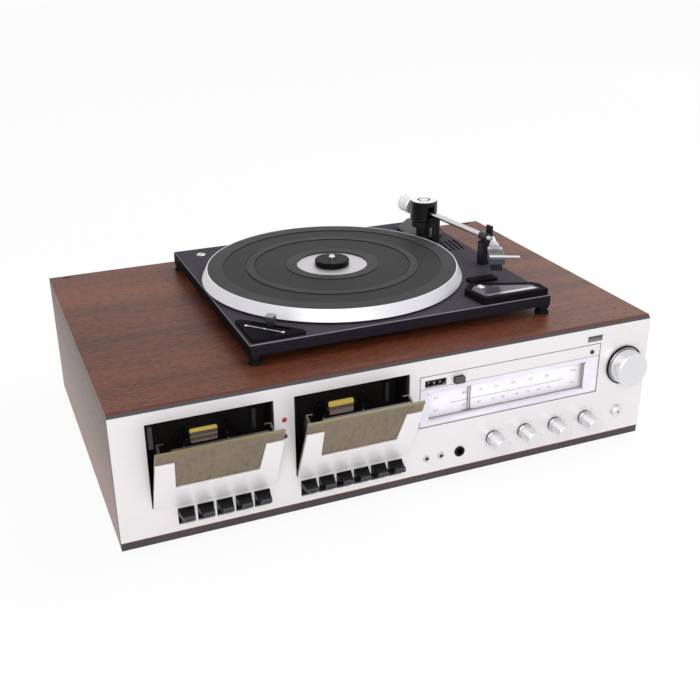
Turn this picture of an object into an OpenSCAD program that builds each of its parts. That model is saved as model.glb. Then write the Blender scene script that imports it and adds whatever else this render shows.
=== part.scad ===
// Stereo system: a record player, two cassette decks and a tuner in one wooden cabinet.
// Millimetres. +Z is up and the front panel faces -Y. The origin lies on the floor,
// under the middle of the whole object.

/* [Front panel] */
// Plain strip left of the first cassette deck
panel_margin = 31; // [24:0.5:60]
// Width of each cassette deck's opening
deck_w = 118.5; // [114:0.5:130]
// Panel strip between the two decks
deck_gap = 20; // [16:0.5:40]
// Panel strip between the second deck and the dial field
dial_gap = 11.5; // [9:0.5:30]
// Width of the dial field
dial_w = 209; // [196:1:240]
// Panel field right of the dial, for the tuning knob
tuning_field_w = 61.5; // [56:0.5:90]
// Height of the key field under the deck openings
key_field_h = 29.5; // [28.5:0.5:40]
// Height of each deck's opening
deck_h = 85.8; // [82:0.2:100]
// Panel strip above the deck openings
panel_top_strip = 11.7; // [10:0.1:24]
// Thickness of the aluminium panel
panel_t = 2; // [1.5:0.1:3]
// Thickness of the moulded frame behind the panel
frame_t = 6; // [5.4:0.1:9]

/* [Cabinet] */
// Thickness of the wooden boards
board_t = 12; // [9:0.5:18]
// Height of the dark plinth strip under the panel
base_t = 9; // [6:0.5:16]
// Height of the rubber feet
foot_h = 8; // [5:0.5:20]
// Radius of the rubber feet
foot_r = 14; // [8:0.5:20]
// Distance of the feet from the cabinet's edges
foot_inset = 45; // [36:1:90]
// Height of the bevelled trim above the panel
trim_h = 4; // [2:0.5:8]
// Thickness of the rear panel
rear_t = 4; // [3:0.5:6]
// Distance of the rear panel in from the boards' rear edges
rear_inset = 12; // [10:0.5:30]

/* [Cassette decks] */
// Angle at which the open doors lean out
door_open = 25; // [10:1:30]
// Gap at each side of a door
door_side_gap = 0.75; // [0.5:0.05:1.5]
// Gap under a closed door
door_lift = 1.5; // [1.2:0.1:2]
// Gap over a closed door
door_top_gap = 2.3; // [1.5:0.1:5]
// Height of the aluminium door plate
plate_h = 68.5; // [56:0.5:76]
// Thickness of the door plate
plate_t = 1.5; // [1:0.1:2.5]
// Width of the notch at the door plate's top edge
notch_w = 83; // [60:1:100]
// How much each side of the notch slants in
notch_slant = 2.5; // [0:0.5:8]
// Depth of the notch
notch_h = 38; // [20:1:50]
// Thickness of the smoked door sheet
sheet_t = 2; // [1.5:0.1:3]
// Inner width of the door's cassette channel
cassette_w = 102; // [100:0.5:108]
// Inner depth of the door's cassette channel
cassette_d = 17; // [12:0.5:20]
// Distance between the two reel hubs
hub_pitch = 42.5; // [42:0.1:43]
// Height of the reel hubs over the opening's lower edge
hub_rise = 51.3; // [40:0.1:60]
// Depth of the wells behind the panel's front
well_d = 32; // [30:0.5:45]
// Wall of the wells
well_wall = 2.5; // [1.5:0.1:4]
// Upward travel of the head bridges
head_travel = 8; // [5:0.5:9]

/* [Keys] */
// Width of a key
key_w = 15; // [12:0.5:16]
// Distance from key to key
key_pitch = 18.3; // [17.5:0.1:20]
// Distance of the last key from the deck's right edge
key_inset = 7; // [5:0.5:14]
// How far the keys stand out of the panel
key_reach = 14; // [10:0.5:18]
// Width of a key at its front lip
key_lip_w = 10.8; // [9:0.1:12]
// Height of the key slots over the panel's lower edge
key_slot_z = 6.5; // [5:0.1:7]
// Height of the key slots
key_slot_h = 17.4; // [16.5:0.1:18]
// Depth of the keys' pivot rod behind the panel's front
key_pivot_d = 28; // [24:0.5:30]

/* [Tuner field] */
// Height of the dial's lower edge over the panel's lower edge
dial_z = 53.5; // [46:0.5:60]
// Height of the dial
dial_h = 41.8; // [38:0.2:46]
// Width of the frame at the dial's left
bezel_left = 10; // [6:0.5:20]
// Width of the frame at the dial's right
bezel_right = 17; // [8:0.5:24]
// Width of the frame above and below the dial
bezel_edge = 6.7; // [4:0.1:10]
// Pointer's place from the dial's left edge
pointer_x = 59.5; // [52:0.5:160]
// Radius of the tuning knob's face
tuning_r = 18.5; // [14:0.5:21]
// Length of the tuning knob
tuning_l = 17; // [12:0.5:30]
// Height of the tuning knob's axis over the panel's lower edge
tuning_z = 79; // [60:0.5:100]
// Radius of the small knobs
knob_r = 8; // [6:0.25:10]
// Length of the small knobs
knob_l = 21.5; // [12:0.5:26]
// Distance from small knob to small knob
knob_pitch = 37.5; // [30:0.1:40]
// Height of the small knobs' axes over the panel's lower edge
knob_z = 24.5; // [20:0.5:34]
// Radius of the knobs' shafts
shaft_r = 3; // [2:0.1:4]
// Radius of the power button
power_r = 6; // [4:0.5:8]
// Radius of the phones socket's bore
phones_r = 3.2; // [3.15:0.01:3.3]
// Radius of the microphone sockets' bores
mic_r = 1.8; // [1.75:0.01:1.9]

/* [Turntable] */
// Width of the turntable's chassis
chassis_w = 332; // [310:1:360]
// Depth of the turntable's chassis
chassis_d = 300; // [296:1:330]
// Height of the turntable's chassis
chassis_h = 11.5; // [9:0.5:18]
// Wall and top of the chassis
chassis_wall = 3.5; // [2.5:0.1:5]
// Chassis' place right of the cabinet's middle
chassis_x = 24; // [0:1:80]
// Chassis' distance behind the panel's front
chassis_setback = 46; // [40:1:80]
// Cabinet top behind the chassis
chassis_rear_gap = 26; // [16:1:80]
// Height of the chassis' feet
chassis_foot_h = 9.5; // [6:0.5:16]
// Platter axis from the chassis' left edge
platter_from_left = 143.5; // [142:0.5:156]
// Radius of the record mat
mat_r = 136.7; // [120:0.1:140]
// Thickness of the record mat
mat_t = 3.5; // [2:0.1:5]
// Height of the platter's sloping rim
rim_h = 11.5; // [10:0.5:16]
// How far the sloping rim spreads
rim_spread = 5.6; // [3:0.1:7]
// Gap between the platter and the chassis
platter_gap = 2.5; // [1.5:0.1:6]
// Radius of the bare hub disc inside the mat
hub_disc_r = 39; // [30:0.5:45]
// Radius of the record spindle
spindle_r = 3.58; // [3.5:0.01:3.6]
// Height of the spindle over the mat
spindle_rise = 10; // [8:0.5:18]
// Radius of the large-hole record adaptor
adaptor_r = 19; // [18:0.05:19.2]
// Height of the adaptor
adaptor_h = 6.5; // [6:0.5:12]
// Radius of the platter's inner drive rim
drive_rim_r = 88; // [70:1:96]
// Radius of the motor pulley
pulley_r = 7.5; // [5:0.25:10]
// Distance of the motor from the platter axis
motor_distance = 112; // [108:1:122]

/* [Tone arm] */
// Arm pivot from the chassis' right edge
arm_from_right = 32; // [28:0.5:44]
// Arm pivot from the chassis' rear edge
arm_from_rear = 63; // [50:0.5:80]
// Height of the arm tube over the chassis
arm_rise = 32.5; // [30:0.5:40]
// Angle of the tube to the cabinet's depth at rest
arm_heading = 7.3; // [2:0.1:12]
// Length of the straight tube in front of the pivot
tube_l = 137; // [120:1:150]
// Radius of the arm tube
tube_r = 3.2; // [2.5:0.1:4]
// Angle between the tube and the head
head_bend = 33; // [18:0.1:40]
// Radius of the pivot drum
drum_r = 16.5; // [14:0.5:18]
// Radius of the counterweight
weight_r = 10.5; // [8:0.5:12]
// Length of the counterweight
weight_l = 21; // [14:0.5:22]
// Travel of the speed lever to each side
lever_travel = 18; // [10:0.5:20]

/* [Clearances] */
// Gap between pieces that move past each other
slide_gap = 0.3; // [0.2:0.05:0.5]
// Radial play of a shaft in its bearing
bearing_play = 0.05; // [0.02:0.01:0.09]

/* [Hidden] */
$fn = 64;
// Overlap that makes a cut run past a face
cut = 1;
left_deck = 0;
right_deck = 1;

// Overall sizes
cabinet_w = panel_margin + 2*deck_w + deck_gap + dial_gap + dial_w + tuning_field_w;
cabinet_d = chassis_setback + chassis_d + chassis_rear_gap;
panel_h = key_field_h + deck_h + panel_top_strip;
base_z = foot_h;
panel_z = foot_h + base_t;
top_z = panel_z + panel_h + trim_h;
frame_back = panel_t + frame_t;
trim_depth = 2.5;
trim_back = panel_t + trim_depth;
rear_d = cabinet_d - rear_inset - rear_t;
rear_face = cabinet_d - rear_inset;

// Door sizes
door_w = deck_w - 2*door_side_gap;
door_h = deck_h - door_lift - door_top_gap;
hinge_d = panel_t + frame_t/2 + slide_gap;
hinge_h = key_field_h + door_lift;
hinge_r = 1.5;
eye_r = frame_t/2;
plate_gap = 1;
sheet_back = sheet_t - plate_gap;
door_reach = door_h*sin(door_open) + (hinge_d + plate_gap)*cos(door_open) - hinge_d;
front_y = (door_reach - cabinet_d)/2;
hinge_pin_l = 2.4;
// Room below the deck opening in the frame for the door's eyes
hinge_relief = eye_r;

// Places along the panel
panel_x = -cabinet_w/2;
deck_x = [panel_x + panel_margin + deck_w/2,
          panel_x + panel_margin + deck_w + deck_gap + deck_w/2];
dial_x = deck_x[right_deck] + deck_w/2 + dial_gap;
dial_end = dial_x + dial_w;
tuning_offset = 32.5;
tuning_x = dial_end + tuning_offset;
power_offset = 3;
power_x = tuning_x - power_offset;
power_z = 24.5;
small_knobs = 4;
knob_inset = 11.2;
knob_x = [for (i = [1:small_knobs]) dial_end - knob_inset - knob_pitch*(small_knobs - i)];
led_r = 2.5;
led_hole = 1.5;
deck_led_x = deck_x[left_deck] + deck_w/2 + deck_gap/2;
deck_led_low = 76;
deck_led_high = 93.4;
dial_led_inset = 9.4;
dial_led_rise = 5.4;
led_places = [[deck_led_x, deck_led_high], [deck_led_x, deck_led_low],
              [dial_end - dial_led_inset, dial_z + dial_h + dial_led_rise]];
jack_z = 17.3;
mic_inset = 8.8;
mic_pitch = 16.3;
phones_inset = 46.4;
mic_x = [dial_x + mic_inset, dial_x + mic_inset + mic_pitch];
phones_x = dial_x + phones_inset;
mic_ring_r = 3.4;
phones_ring_r = 5.6;
jack_ring_t = 1.4;
jack_lip = 0.9;
jack_l = 24;

// Tape counter and its reset button
counter_inset = 5;
counter_x = dial_x + counter_inset;
counter_w = 23.6;
counter_rise = 1.4;
counter_z = dial_z + dial_h + counter_rise;
counter_h = 7.8;
wheel_r = 9;
wheel_sink = 2.5;
wheel_d = panel_t + wheel_sink + wheel_r;
wheel_z = counter_z + counter_h/2;
wheel_side = 1.5;
axle_r = 1;
cheek_t = 2;
reset_inset = 36.2;
reset_x = dial_x + reset_inset;
reset_w = 11.2;
reset_h = 7.3;
reset_reach = 5;

// Key slots and levers
key_slot_w = key_w + 2*slide_gap;
key_count = [5, 6];
key_rod_r = 1.5;
key_pivot_h = 14;
function key_x(deck, i) = deck_x[deck] + deck_w/2 - key_inset - key_slot_w/2
    - key_pitch*(key_count[deck] - 1 - i);

// Dial tray, window and pointer
window_x = dial_x + bezel_left;
window_w = dial_w - bezel_left - bezel_right;
window_z = dial_z + bezel_edge;
window_h = dial_h - 2*bezel_edge;
bezel_d = 6;
glass_t = 1.5;
glass_lap = 3;
scale_sink = 3;
scale_d = frame_back + scale_sink;
tray_depth = 5;
tray_d = frame_back + tray_depth;
tray_t = 1.5;
tray_wall = 2;
tray_top = 8;
rail_r = 1;
rail_d = frame_back + tray_depth/2;
rail_rise = 2.2;
rail_h = dial_z + rail_rise;

// Turntable
chassis_y = front_y + chassis_setback;
chassis_left = chassis_x - chassis_w/2;
chassis_right = chassis_left + chassis_w;
chassis_z = top_z + chassis_foot_h;
deck_z = chassis_z + chassis_h;
chassis_round = 2.5;
chassis_foot_r = 7.5;
foot_overhang = 1;
chassis_foot_inset = chassis_foot_r - foot_overhang;
platter_x = chassis_left + platter_from_left;
platter_y = chassis_y + chassis_d/2;
rim_z = deck_z + platter_gap;
mat_z = rim_z + rim_h - mat_t;
disc_t = 3;
rim_top_w = 1;
hub_disc_t = 2;
hub_z = mat_z + hub_disc_t;
bearing_depth = 14;
bearing_floor = deck_z - bearing_depth;
bearing_r = 10;
motor_angle = 140;
motor_r = 21;
motor_h = 38;
motor_x = platter_x + motor_distance*cos(motor_angle);
motor_y = platter_y + motor_distance*sin(motor_angle);
motor_shaft_r = 1.5;
belt_t = 0.8;
belt_h = 4;
belt_gap = 0.4;
belt_z = mat_z - disc_t - belt_h - belt_gap;

// Tone arm
arm_x = chassis_right - arm_from_right;
arm_y = chassis_y + chassis_d - arm_from_rear;
arm_z = deck_z + arm_rise;
drum_low = 10;
drum_high = 13.5;
pivot_r = 4;
cross_pin_r = 1.5;
arm_block_w = 9;
rest_setback = 14.5;
rest_from_pivot = tube_l - rest_setback;
rest_collar_w = 1.8;
rest_collar_r = tube_r + rest_collar_w;
lift_from_pivot = 27;
pedestal_h = 5;
pedestal_r = 23;
column_r = 8.8;
yoke_plate_t = 2;
column_top = arm_rise - drum_low - yoke_plate_t;
neck_l = 22;

// Speed lever, on its raised corner plate
speed_plate_h = 3.5;
speed_plate_edge = 4;
speed_plate_w = 54;
speed_plate_end = 6;
lever_from_left = 31.5;
lever_from_front = 30.5;
lever_x = chassis_left + lever_from_left;
lever_y = chassis_y + lever_from_front;
lever_turn = -45;
lever_stem_w = 4.4;

function depth(d) = front_y + d;
function height(h) = panel_z + h;

// Draws a flat outline standing in the panel's plane, from depth d0, with thickness t
module upright(d0, t) {
    translate([0, depth(d0) + t, panel_z]) rotate([90, 0, 0]) linear_extrude(t) children();
}

// Draws a profile of depth and height, along the cabinet's width
module along_width(x0, w) {
    translate([x0, front_y, panel_z]) rotate([90, 0, 90]) linear_extrude(w) children();
}

// Cylinder along the cabinet's depth, from depth d0
module deep_cylinder(x, h, d0, l, r) {
    translate([x, depth(d0), height(h)]) rotate([-90, 0, 0]) cylinder(r = r, h = l);
}

// Cylinder along the cabinet's width
module wide_cylinder(x0, l, d, h, r) {
    translate([x0, depth(d), height(h)]) rotate([0, 90, 0]) cylinder(r = r, h = l);
}

// Box given by its place on the panel, its depth and its size
module block(x, d, h, size) {
    translate([x, depth(d), height(h)]) cube(size);
}

module rounded_rectangle(w, d, r) {
    translate([r, 0]) square([w - 2*r, d]);
    translate([0, r]) square([w, d - 2*r]);
    for (x = [r, w - r], y = [r, d - r]) translate([x, y]) circle(r);
}

module cabinet_top() {
    front_edge = depth(trim_back);
    motor_room = 5;
    color("saddlebrown") difference() {
        translate([panel_x, front_edge, top_z - board_t])
            cube([cabinet_w, depth(cabinet_d) - front_edge, board_t]);
        translate([motor_x, motor_y, top_z - board_t - cut])
            cylinder(r = motor_r + motor_room, h = board_t + 2*cut);
        lid_notches();
    }
}

// Notches in the rear edge for the hinges of a dust cover
module lid_notches() {
    notch = [8, 7, 3];
    inset = 19;
    for (side = [-1, 1])
        translate([side*(cabinet_w/2 - inset) - notch[0]/2, depth(cabinet_d) - notch[1], top_z - notch[2]])
            cube([notch[0], notch[1] + cut, notch[2] + cut]);
}

module cabinet_sides() {
    color("sienna") for (x = [panel_x, -panel_x - board_t])
        translate([x, depth(frame_back), base_z])
            cube([board_t, cabinet_d - frame_back, top_z - board_t - base_z]);
}

module base_panel() {
    inner_w = cabinet_w - 2*board_t;
    slot = [4, 70];
    slot_pitch = 14;
    reach = 4;
    color("dimgray") difference() {
        translate([-inner_w/2, depth(frame_back), base_z])
            cube([inner_w, cabinet_d - frame_back, base_t]);
        for (i = [-reach:reach], side = [-1, 1])
            translate([side*inner_w/4 + i*slot_pitch - slot[0]/2, -slot[1]/2, base_z - cut])
                cube([slot[0], slot[1], base_t + 2*cut]);
    }
}

// Sockets on the rear panel: place from the cabinet's middle and height on the panel
phono_first = -150;
phono_pitch = 16;
phono_low = 40;
phono_rise = 18;
phono_x = [for (i = [0:3]) phono_first + phono_pitch*i];
phono_z = [phono_low, phono_low + phono_rise];
phono_r = 4.2;
speaker_first = 60;
speaker_pitch = 70;
speaker_x = [speaker_first, speaker_first + speaker_pitch];
speaker_z = 48;
aerial_x = -20;
aerial_z = 48;
inlet_x = 215;
inlet_z = 30;
inlet_r = 7;

module rear_panel() {
    inner_w = cabinet_w - 2*board_t;
    inner_h = top_z - board_t - panel_z;
    vents = 16;
    vent = [22, 4];
    vent_pitch = [30, 18];
    vent_low = 76;
    color("peru") difference() {
        upright(rear_d, rear_t) translate([-inner_w/2, 0]) square([inner_w, inner_h]);
        for (i = [0:vents - 1], row = [0, 1])
            block((i - (vents - 1)/2)*vent_pitch[0] - vent[0]/2, rear_d - cut, vent_low + row*vent_pitch[1],
                  [vent[0], rear_t + 2*cut, vent[1]]);
        for (x = phono_x, z = phono_z) deep_cylinder(x, z, rear_d - cut, rear_t + 2*cut, phono_r);
        deep_cylinder(inlet_x, inlet_z, rear_d - cut, rear_t + 2*cut, inlet_r);
    }
}

module rear_terminals() {
    color("black") {
        for (x = phono_x, z = phono_z) phono_socket(x, z);
        for (x = speaker_x) speaker_terminals(x);
        aerial_strip();
        cord_inlet();
    }
}

module phono_socket(x, z) {
    inside = 6;
    outside = 7;
    collar_t = 1.5;
    collar_r = phono_r + 1.8;
    pin_r = 1.6;
    pin_l = 11;
    difference() {
        union() {
            deep_cylinder(x, z, rear_d - inside, inside + rear_t + outside, phono_r - slide_gap);
            deep_cylinder(x, z, rear_face, collar_t, collar_r);
        }
        deep_cylinder(x, z, rear_face + outside - pin_l, pin_l + cut, pin_r);
    }
}

// Four spring clips for speaker wires, each with a lever and a wire hole
module speaker_terminals(x) {
    size = [56, 9, 26];
    clips = 4;
    pitch = 12.5;
    lever = [8.5, 5, 9];
    lever_rise = 1;
    wire_r = 1.6;
    wire_l = 7;
    wire_drop = 7;
    difference() {
        block(x - size[0]/2, rear_face, speaker_z - size[2]/2, size);
        for (i = [0:clips - 1]) {
            clip_x = x + (i - (clips - 1)/2)*pitch;
            block(clip_x - lever[0]/2, rear_face + size[1] - lever[1], speaker_z + lever_rise,
                  [lever[0], lever[1] + cut, lever[2]]);
            deep_cylinder(clip_x, speaker_z - wire_drop, rear_face + size[1] - wire_l, wire_l + cut, wire_r);
        }
    }
}

module aerial_strip() {
    size = [60, 5, 18];
    screws = 4;
    pitch = 14.6;
    hole_r = 2.2;
    hole_l = 4;
    difference() {
        block(aerial_x - size[0]/2, rear_face, aerial_z - size[2]/2, size);
        for (i = [0:screws - 1])
            deep_cylinder(aerial_x + (i - (screws - 1)/2)*pitch, aerial_z, rear_face + size[1] - hole_l,
                          hole_l + cut, hole_r);
    }
}

module cord_inlet() {
    inside = 4;
    outside = 4;
    collar = 3;
    cord_r = 3.5;
    length = inside + rear_t + outside;
    difference() {
        union() {
            deep_cylinder(inlet_x, inlet_z, rear_d - inside, length, inlet_r - slide_gap);
            deep_cylinder(inlet_x, inlet_z, rear_face, collar, inlet_r + collar);
        }
        deep_cylinder(inlet_x, inlet_z, rear_d - inside - cut, length + 2*cut, cord_r);
    }
}

module rubber_feet() {
    color("black") {
        cabinet_feet();
        chassis_feet();
    }
}

module cabinet_feet() {
    taper = 2;
    edge = 1;
    for (x = [panel_x + foot_inset, -panel_x - foot_inset],
         y = [depth(foot_inset), depth(cabinet_d - foot_inset)])
        translate([x, y, 0]) rotate_extrude()
            polygon([[0, 0], [foot_r - taper, 0], [foot_r - taper + edge, edge], [foot_r, foot_h],
                     [0, foot_h]]);
}

// Cuts that the panel and the frame behind it share, from depth d0
module shared_cuts(d0, l, deck_extra) {
    for (x = deck_x)
        block(x - deck_w/2, d0, key_field_h - deck_extra, [deck_w, l, deck_h + deck_extra]);
    block(dial_x, d0, dial_z, [dial_w, l, dial_h]);
    block(reset_x, d0, counter_z, [reset_w, l, reset_h]);
    for (deck = [left_deck, right_deck], i = [0:key_count[deck] - 1])
        block(key_x(deck, i) - key_slot_w/2, d0, key_slot_z, [key_slot_w, l, key_slot_h]);
    deep_cylinder(power_x, power_z, d0, l, power_r + slide_gap);
}

module front_panel() {
    hole_play = 0.5;
    through = panel_t + 2*cut;
    color("gainsboro") difference() {
        upright(0, panel_t) translate([panel_x, 0]) square([cabinet_w, panel_h]);
        shared_cuts(-cut, through, 0);
        block(counter_x, -cut, counter_z, [counter_w, through, counter_h]);
        for (x = knob_x) deep_cylinder(x, knob_z, -cut, through, shaft_r + hole_play);
        deep_cylinder(tuning_x, tuning_z, -cut, through, shaft_r + hole_play);
        for (p = led_places) deep_cylinder(p[0], p[1], -cut, through, led_r + bearing_play);
        for (x = mic_x) deep_cylinder(x, jack_z, -cut, through, mic_ring_r - jack_lip + slide_gap);
        deep_cylinder(phones_x, jack_z, -cut, through, phones_ring_r - jack_lip + slide_gap);
    }
}

module front_frame() {
    lip_h = panel_h + trim_h - board_t;
    plinth_d = panel_t/2;
    trim_edge = 0.3;
    trim_flat = 0.5;
    boss_r = shaft_r + 3;
    cheek_half = 4;
    nut_room = 1.5;
    through = frame_t + 2*cut;
    axes = concat([for (x = knob_x) [x, knob_z]], [[tuning_x, tuning_z]]);
    cheek_x = [counter_x - wheel_side - cheek_t, counter_x + counter_w + wheel_side];
    color("dimgray") difference() {
        union() {
            along_width(panel_x, cabinet_w) polygon([
                [panel_t, 0], [plinth_d, 0], [plinth_d, -base_t], [frame_back, -base_t],
                [frame_back, lip_h], [trim_back, lip_h], [trim_back, panel_h + trim_h],
                [trim_back - trim_flat, panel_h + trim_h], [trim_edge, panel_h], [panel_t, panel_h]]);
            for (a = axes) deep_cylinder(a[0], a[1], frame_back - cut, shaft_tail + cut, boss_r);
            for (x = cheek_x)
                block(x, frame_back - cut, wheel_z - cheek_half,
                      [cheek_t, wheel_d - frame_back + cheek_half + cut, 2*cheek_half]);
        }
        shared_cuts(panel_t - 2*cut, frame_t + 4*cut, hinge_relief);
        block(counter_x - wheel_side, panel_t - cut, wheel_z - wheel_r,
              [counter_w + 2*wheel_side, through, 2*wheel_r]);
        for (x = cheek_x)
            wide_cylinder(x - cut, cheek_t + 2*cut, wheel_d, wheel_z, axle_r + bearing_play);
        for (a = axes) deep_cylinder(a[0], a[1], panel_t - cut, through + shaft_tail, shaft_r + bearing_play);
        for (p = led_places) deep_cylinder(p[0], p[1], panel_t - cut, through, led_r + led_hole);
        for (x = mic_x) deep_cylinder(x, jack_z, panel_t - cut, through, mic_ring_r + nut_room);
        deep_cylinder(phones_x, jack_z, panel_t - cut, through, phones_ring_r + nut_room);
        for (x = deck_x)
            wide_cylinder(x - deck_w/2 - hinge_pin_l, deck_w + 2*hinge_pin_l, hinge_d, hinge_h,
                          hinge_r + bearing_play);
    }
}

module dial_bezel() {
    recess = 0.5;
    bevel_d = 3;
    bevel_h = 1.5;
    spread = bevel_h*(bevel_d + cut)/(bevel_d - recess);
    color("lightsteelblue") difference() {
        block(dial_x + slide_gap, recess, dial_z + slide_gap,
              [dial_w - 2*slide_gap, bezel_d - recess, dial_h - 2*slide_gap]);
        block(window_x, -cut, window_z, [window_w, bezel_d + 2*cut, window_h]);
        for (side = [-1, 1]) {
            edge = window_z + (1 + side)*window_h/2;
            along_width(window_x - bevel_h, window_w + 2*bevel_h)
                polygon([[-cut, edge], [-cut, edge + side*spread], [bevel_d, edge]]);
        }
    }
}

module dial_window() {
    color("azure", 0.4) block(window_x - glass_lap, bezel_d, window_z - glass_lap,
        [window_w + 2*glass_lap, glass_t, window_h + 2*glass_lap]);
}

// Tray behind the frame: scale pad, side walls and the pointer's rail
module dial_scale() {
    room = 1;
    pad_lap = 2;
    x0 = dial_x - tray_wall - room;
    w = dial_w + 2*(tray_wall + room);
    z0 = dial_z - tray_wall - room;
    h = dial_h + tray_wall + room + tray_top;
    counter_room = wheel_side + cheek_t + room;
    color("white") {
        difference() {
            block(x0, frame_back, z0, [w, tray_d + tray_t - frame_back, h]);
            block(x0 + tray_wall, frame_back - cut, z0 + tray_wall,
                  [w - 2*tray_wall, tray_d - frame_back + cut, h - 2*tray_wall]);
            block(counter_x - counter_room, frame_back - cut, wheel_z - wheel_r - room,
                  [counter_w + 2*counter_room, tray_d + tray_t, h]);
            block(reset_x - room, frame_back - cut, counter_z - room, [reset_w + 2*room, tray_d + tray_t, h]);
        }
        block(window_x - pad_lap, scale_d, window_z - pad_lap,
              [window_w + 2*pad_lap, tray_d - scale_d + cut, window_h + 2*pad_lap]);
        wide_cylinder(x0 + tray_wall - cut, w - 2*tray_wall + 2*cut, rail_d, rail_h, rail_r);
    }
}

// Two blades on a carriage that runs on the tray's rail
module dial_pointer() {
    blade_w = 0.9;
    blade_gap = 2.6;
    blade_t = 0.8;
    blade_h = window_z + window_h - rail_h;
    carriage_w = 10;
    carriage_r = 2;
    x = dial_x + pointer_x;
    d = rail_d - carriage_r;
    color("black") difference() {
        union() {
            for (side = [-1, 1])
                block(x + side*blade_gap/2 - blade_w/2, d, rail_h, [blade_w, blade_t, blade_h]);
            block(x - carriage_w/2, d, rail_h - carriage_r, [carriage_w, 2*carriage_r, 2*carriage_r]);
        }
        wide_cylinder(x - carriage_w/2 - cut, carriage_w + 2*cut, rail_d, rail_h, rail_r + bearing_play);
    }
}

module front_jacks() {
    color("dimgray") {
        for (x = mic_x) jack(x, mic_ring_r, mic_r);
        jack(phones_x, phones_ring_r, phones_r);
    }
}

// Socket with a front ring, a threaded barrel through the panel and a blind bore
module jack(x, ring_r, bore_r) {
    nut_t = 2;
    nut_r = ring_r + 1;
    blind = 4;
    difference() {
        union() {
            deep_cylinder(x, jack_z, -jack_ring_t, jack_ring_t, ring_r);
            deep_cylinder(x, jack_z, -cut/2, jack_l, ring_r - jack_lip);
            deep_cylinder(x, jack_z, panel_t, nut_t, nut_r);
        }
        deep_cylinder(x, jack_z, -jack_ring_t - cut, jack_l - blind + jack_ring_t + cut, bore_r);
    }
}

module indicator_leds() {
    dome_d = 0.5;
    flange_t = 1.2;
    flange_r = led_r + 0.8;
    color("red") for (p = led_places) {
        deep_cylinder(p[0], p[1], dome_d, frame_back - slide_gap - dome_d, led_r);
        translate([p[0], depth(dome_d), height(p[1])]) intersection() {
            sphere(led_r);
            translate([-led_r, -led_r, -led_r]) cube([2*led_r, led_r, 2*led_r]);
        }
        deep_cylinder(p[0], p[1], panel_t, flange_t, flange_r);
    }
}

// Places in a well, measured from the deck's middle and the opening's lower edge
guide_x = 26;
guide_h = 12.5;
guide_r = 1.5;
hub_shaft_r = 1.5;
bridge_gap = 0.4;
bridge_t = 1.5;
guide_l = bridge_gap + bridge_t + 1;

module cassette_wells() {
    color("black") for (deck = [left_deck, right_deck]) {
        x = deck_x[deck];
        row_left = key_x(deck, 0) - key_slot_w/2;
        row_right = key_x(deck, key_count[deck] - 1) + key_slot_w/2;
        cheek_in = 0.6;
        cheek_half = 4;
        difference() {
            union() {
                block(x - deck_w/2 - well_wall, frame_back, key_field_h - well_wall,
                      [deck_w + 2*well_wall, well_d + well_wall - frame_back, deck_h + 2*well_wall]);
                for (cheek = [row_left - cheek_in - cheek_t, row_right + cheek_in])
                    block(cheek, key_pivot_d - cheek_half, key_pivot_h - cheek_half,
                          [cheek_t, 2*cheek_half, key_field_h - key_pivot_h + cheek_half - well_wall + cut]);
                wide_cylinder(row_left - cheek_in - cut, row_right - row_left + 2*(cheek_in + cut),
                              key_pivot_d, key_pivot_h, key_rod_r);
            }
            block(x - deck_w/2, frame_back - cut, key_field_h, [deck_w, well_d - frame_back + cut, deck_h]);
            for (side = [-1, 1])
                deep_cylinder(x + side*hub_pitch/2, key_field_h + hub_rise, well_d - cut,
                              well_wall + 2*cut, hub_shaft_r + bearing_play);
        }
        for (side = [-1, 1])
            deep_cylinder(x + side*guide_x, key_field_h + guide_h, well_d - guide_l, guide_l, guide_r);
    }
}

module lamp_plates() {
    lamp = [26.5, 14.5];
    lamp_t = 1.2;
    lamp_drop = 2.6;
    round_r = 2;
    color("khaki") for (x = deck_x)
        upright(well_d - lamp_t, lamp_t)
            translate([x - lamp[0]/2, key_field_h + hub_rise - lamp[1]/2 - lamp_drop])
                rounded_rectangle(lamp[0], lamp[1], round_r);
}

// Puts a door, drawn closed with its hinge at the origin, at its open angle
module swung(deck) {
    translate([deck_x[deck], depth(hinge_d), height(hinge_h)]) rotate([door_open, 0, 0]) children();
}

module door_plate(deck) {
    color("gainsboro") swung(deck)
        translate([0, -hinge_d - plate_gap, 0]) rotate([90, 0, 0]) linear_extrude(plate_t) polygon([
            [-door_w/2, 0], [door_w/2, 0], [door_w/2, plate_h], [notch_w/2, plate_h],
            [notch_w/2 - notch_slant, plate_h - notch_h], [notch_slant - notch_w/2, plate_h - notch_h],
            [-notch_w/2, plate_h], [-door_w/2, plate_h]]);
}

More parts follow.
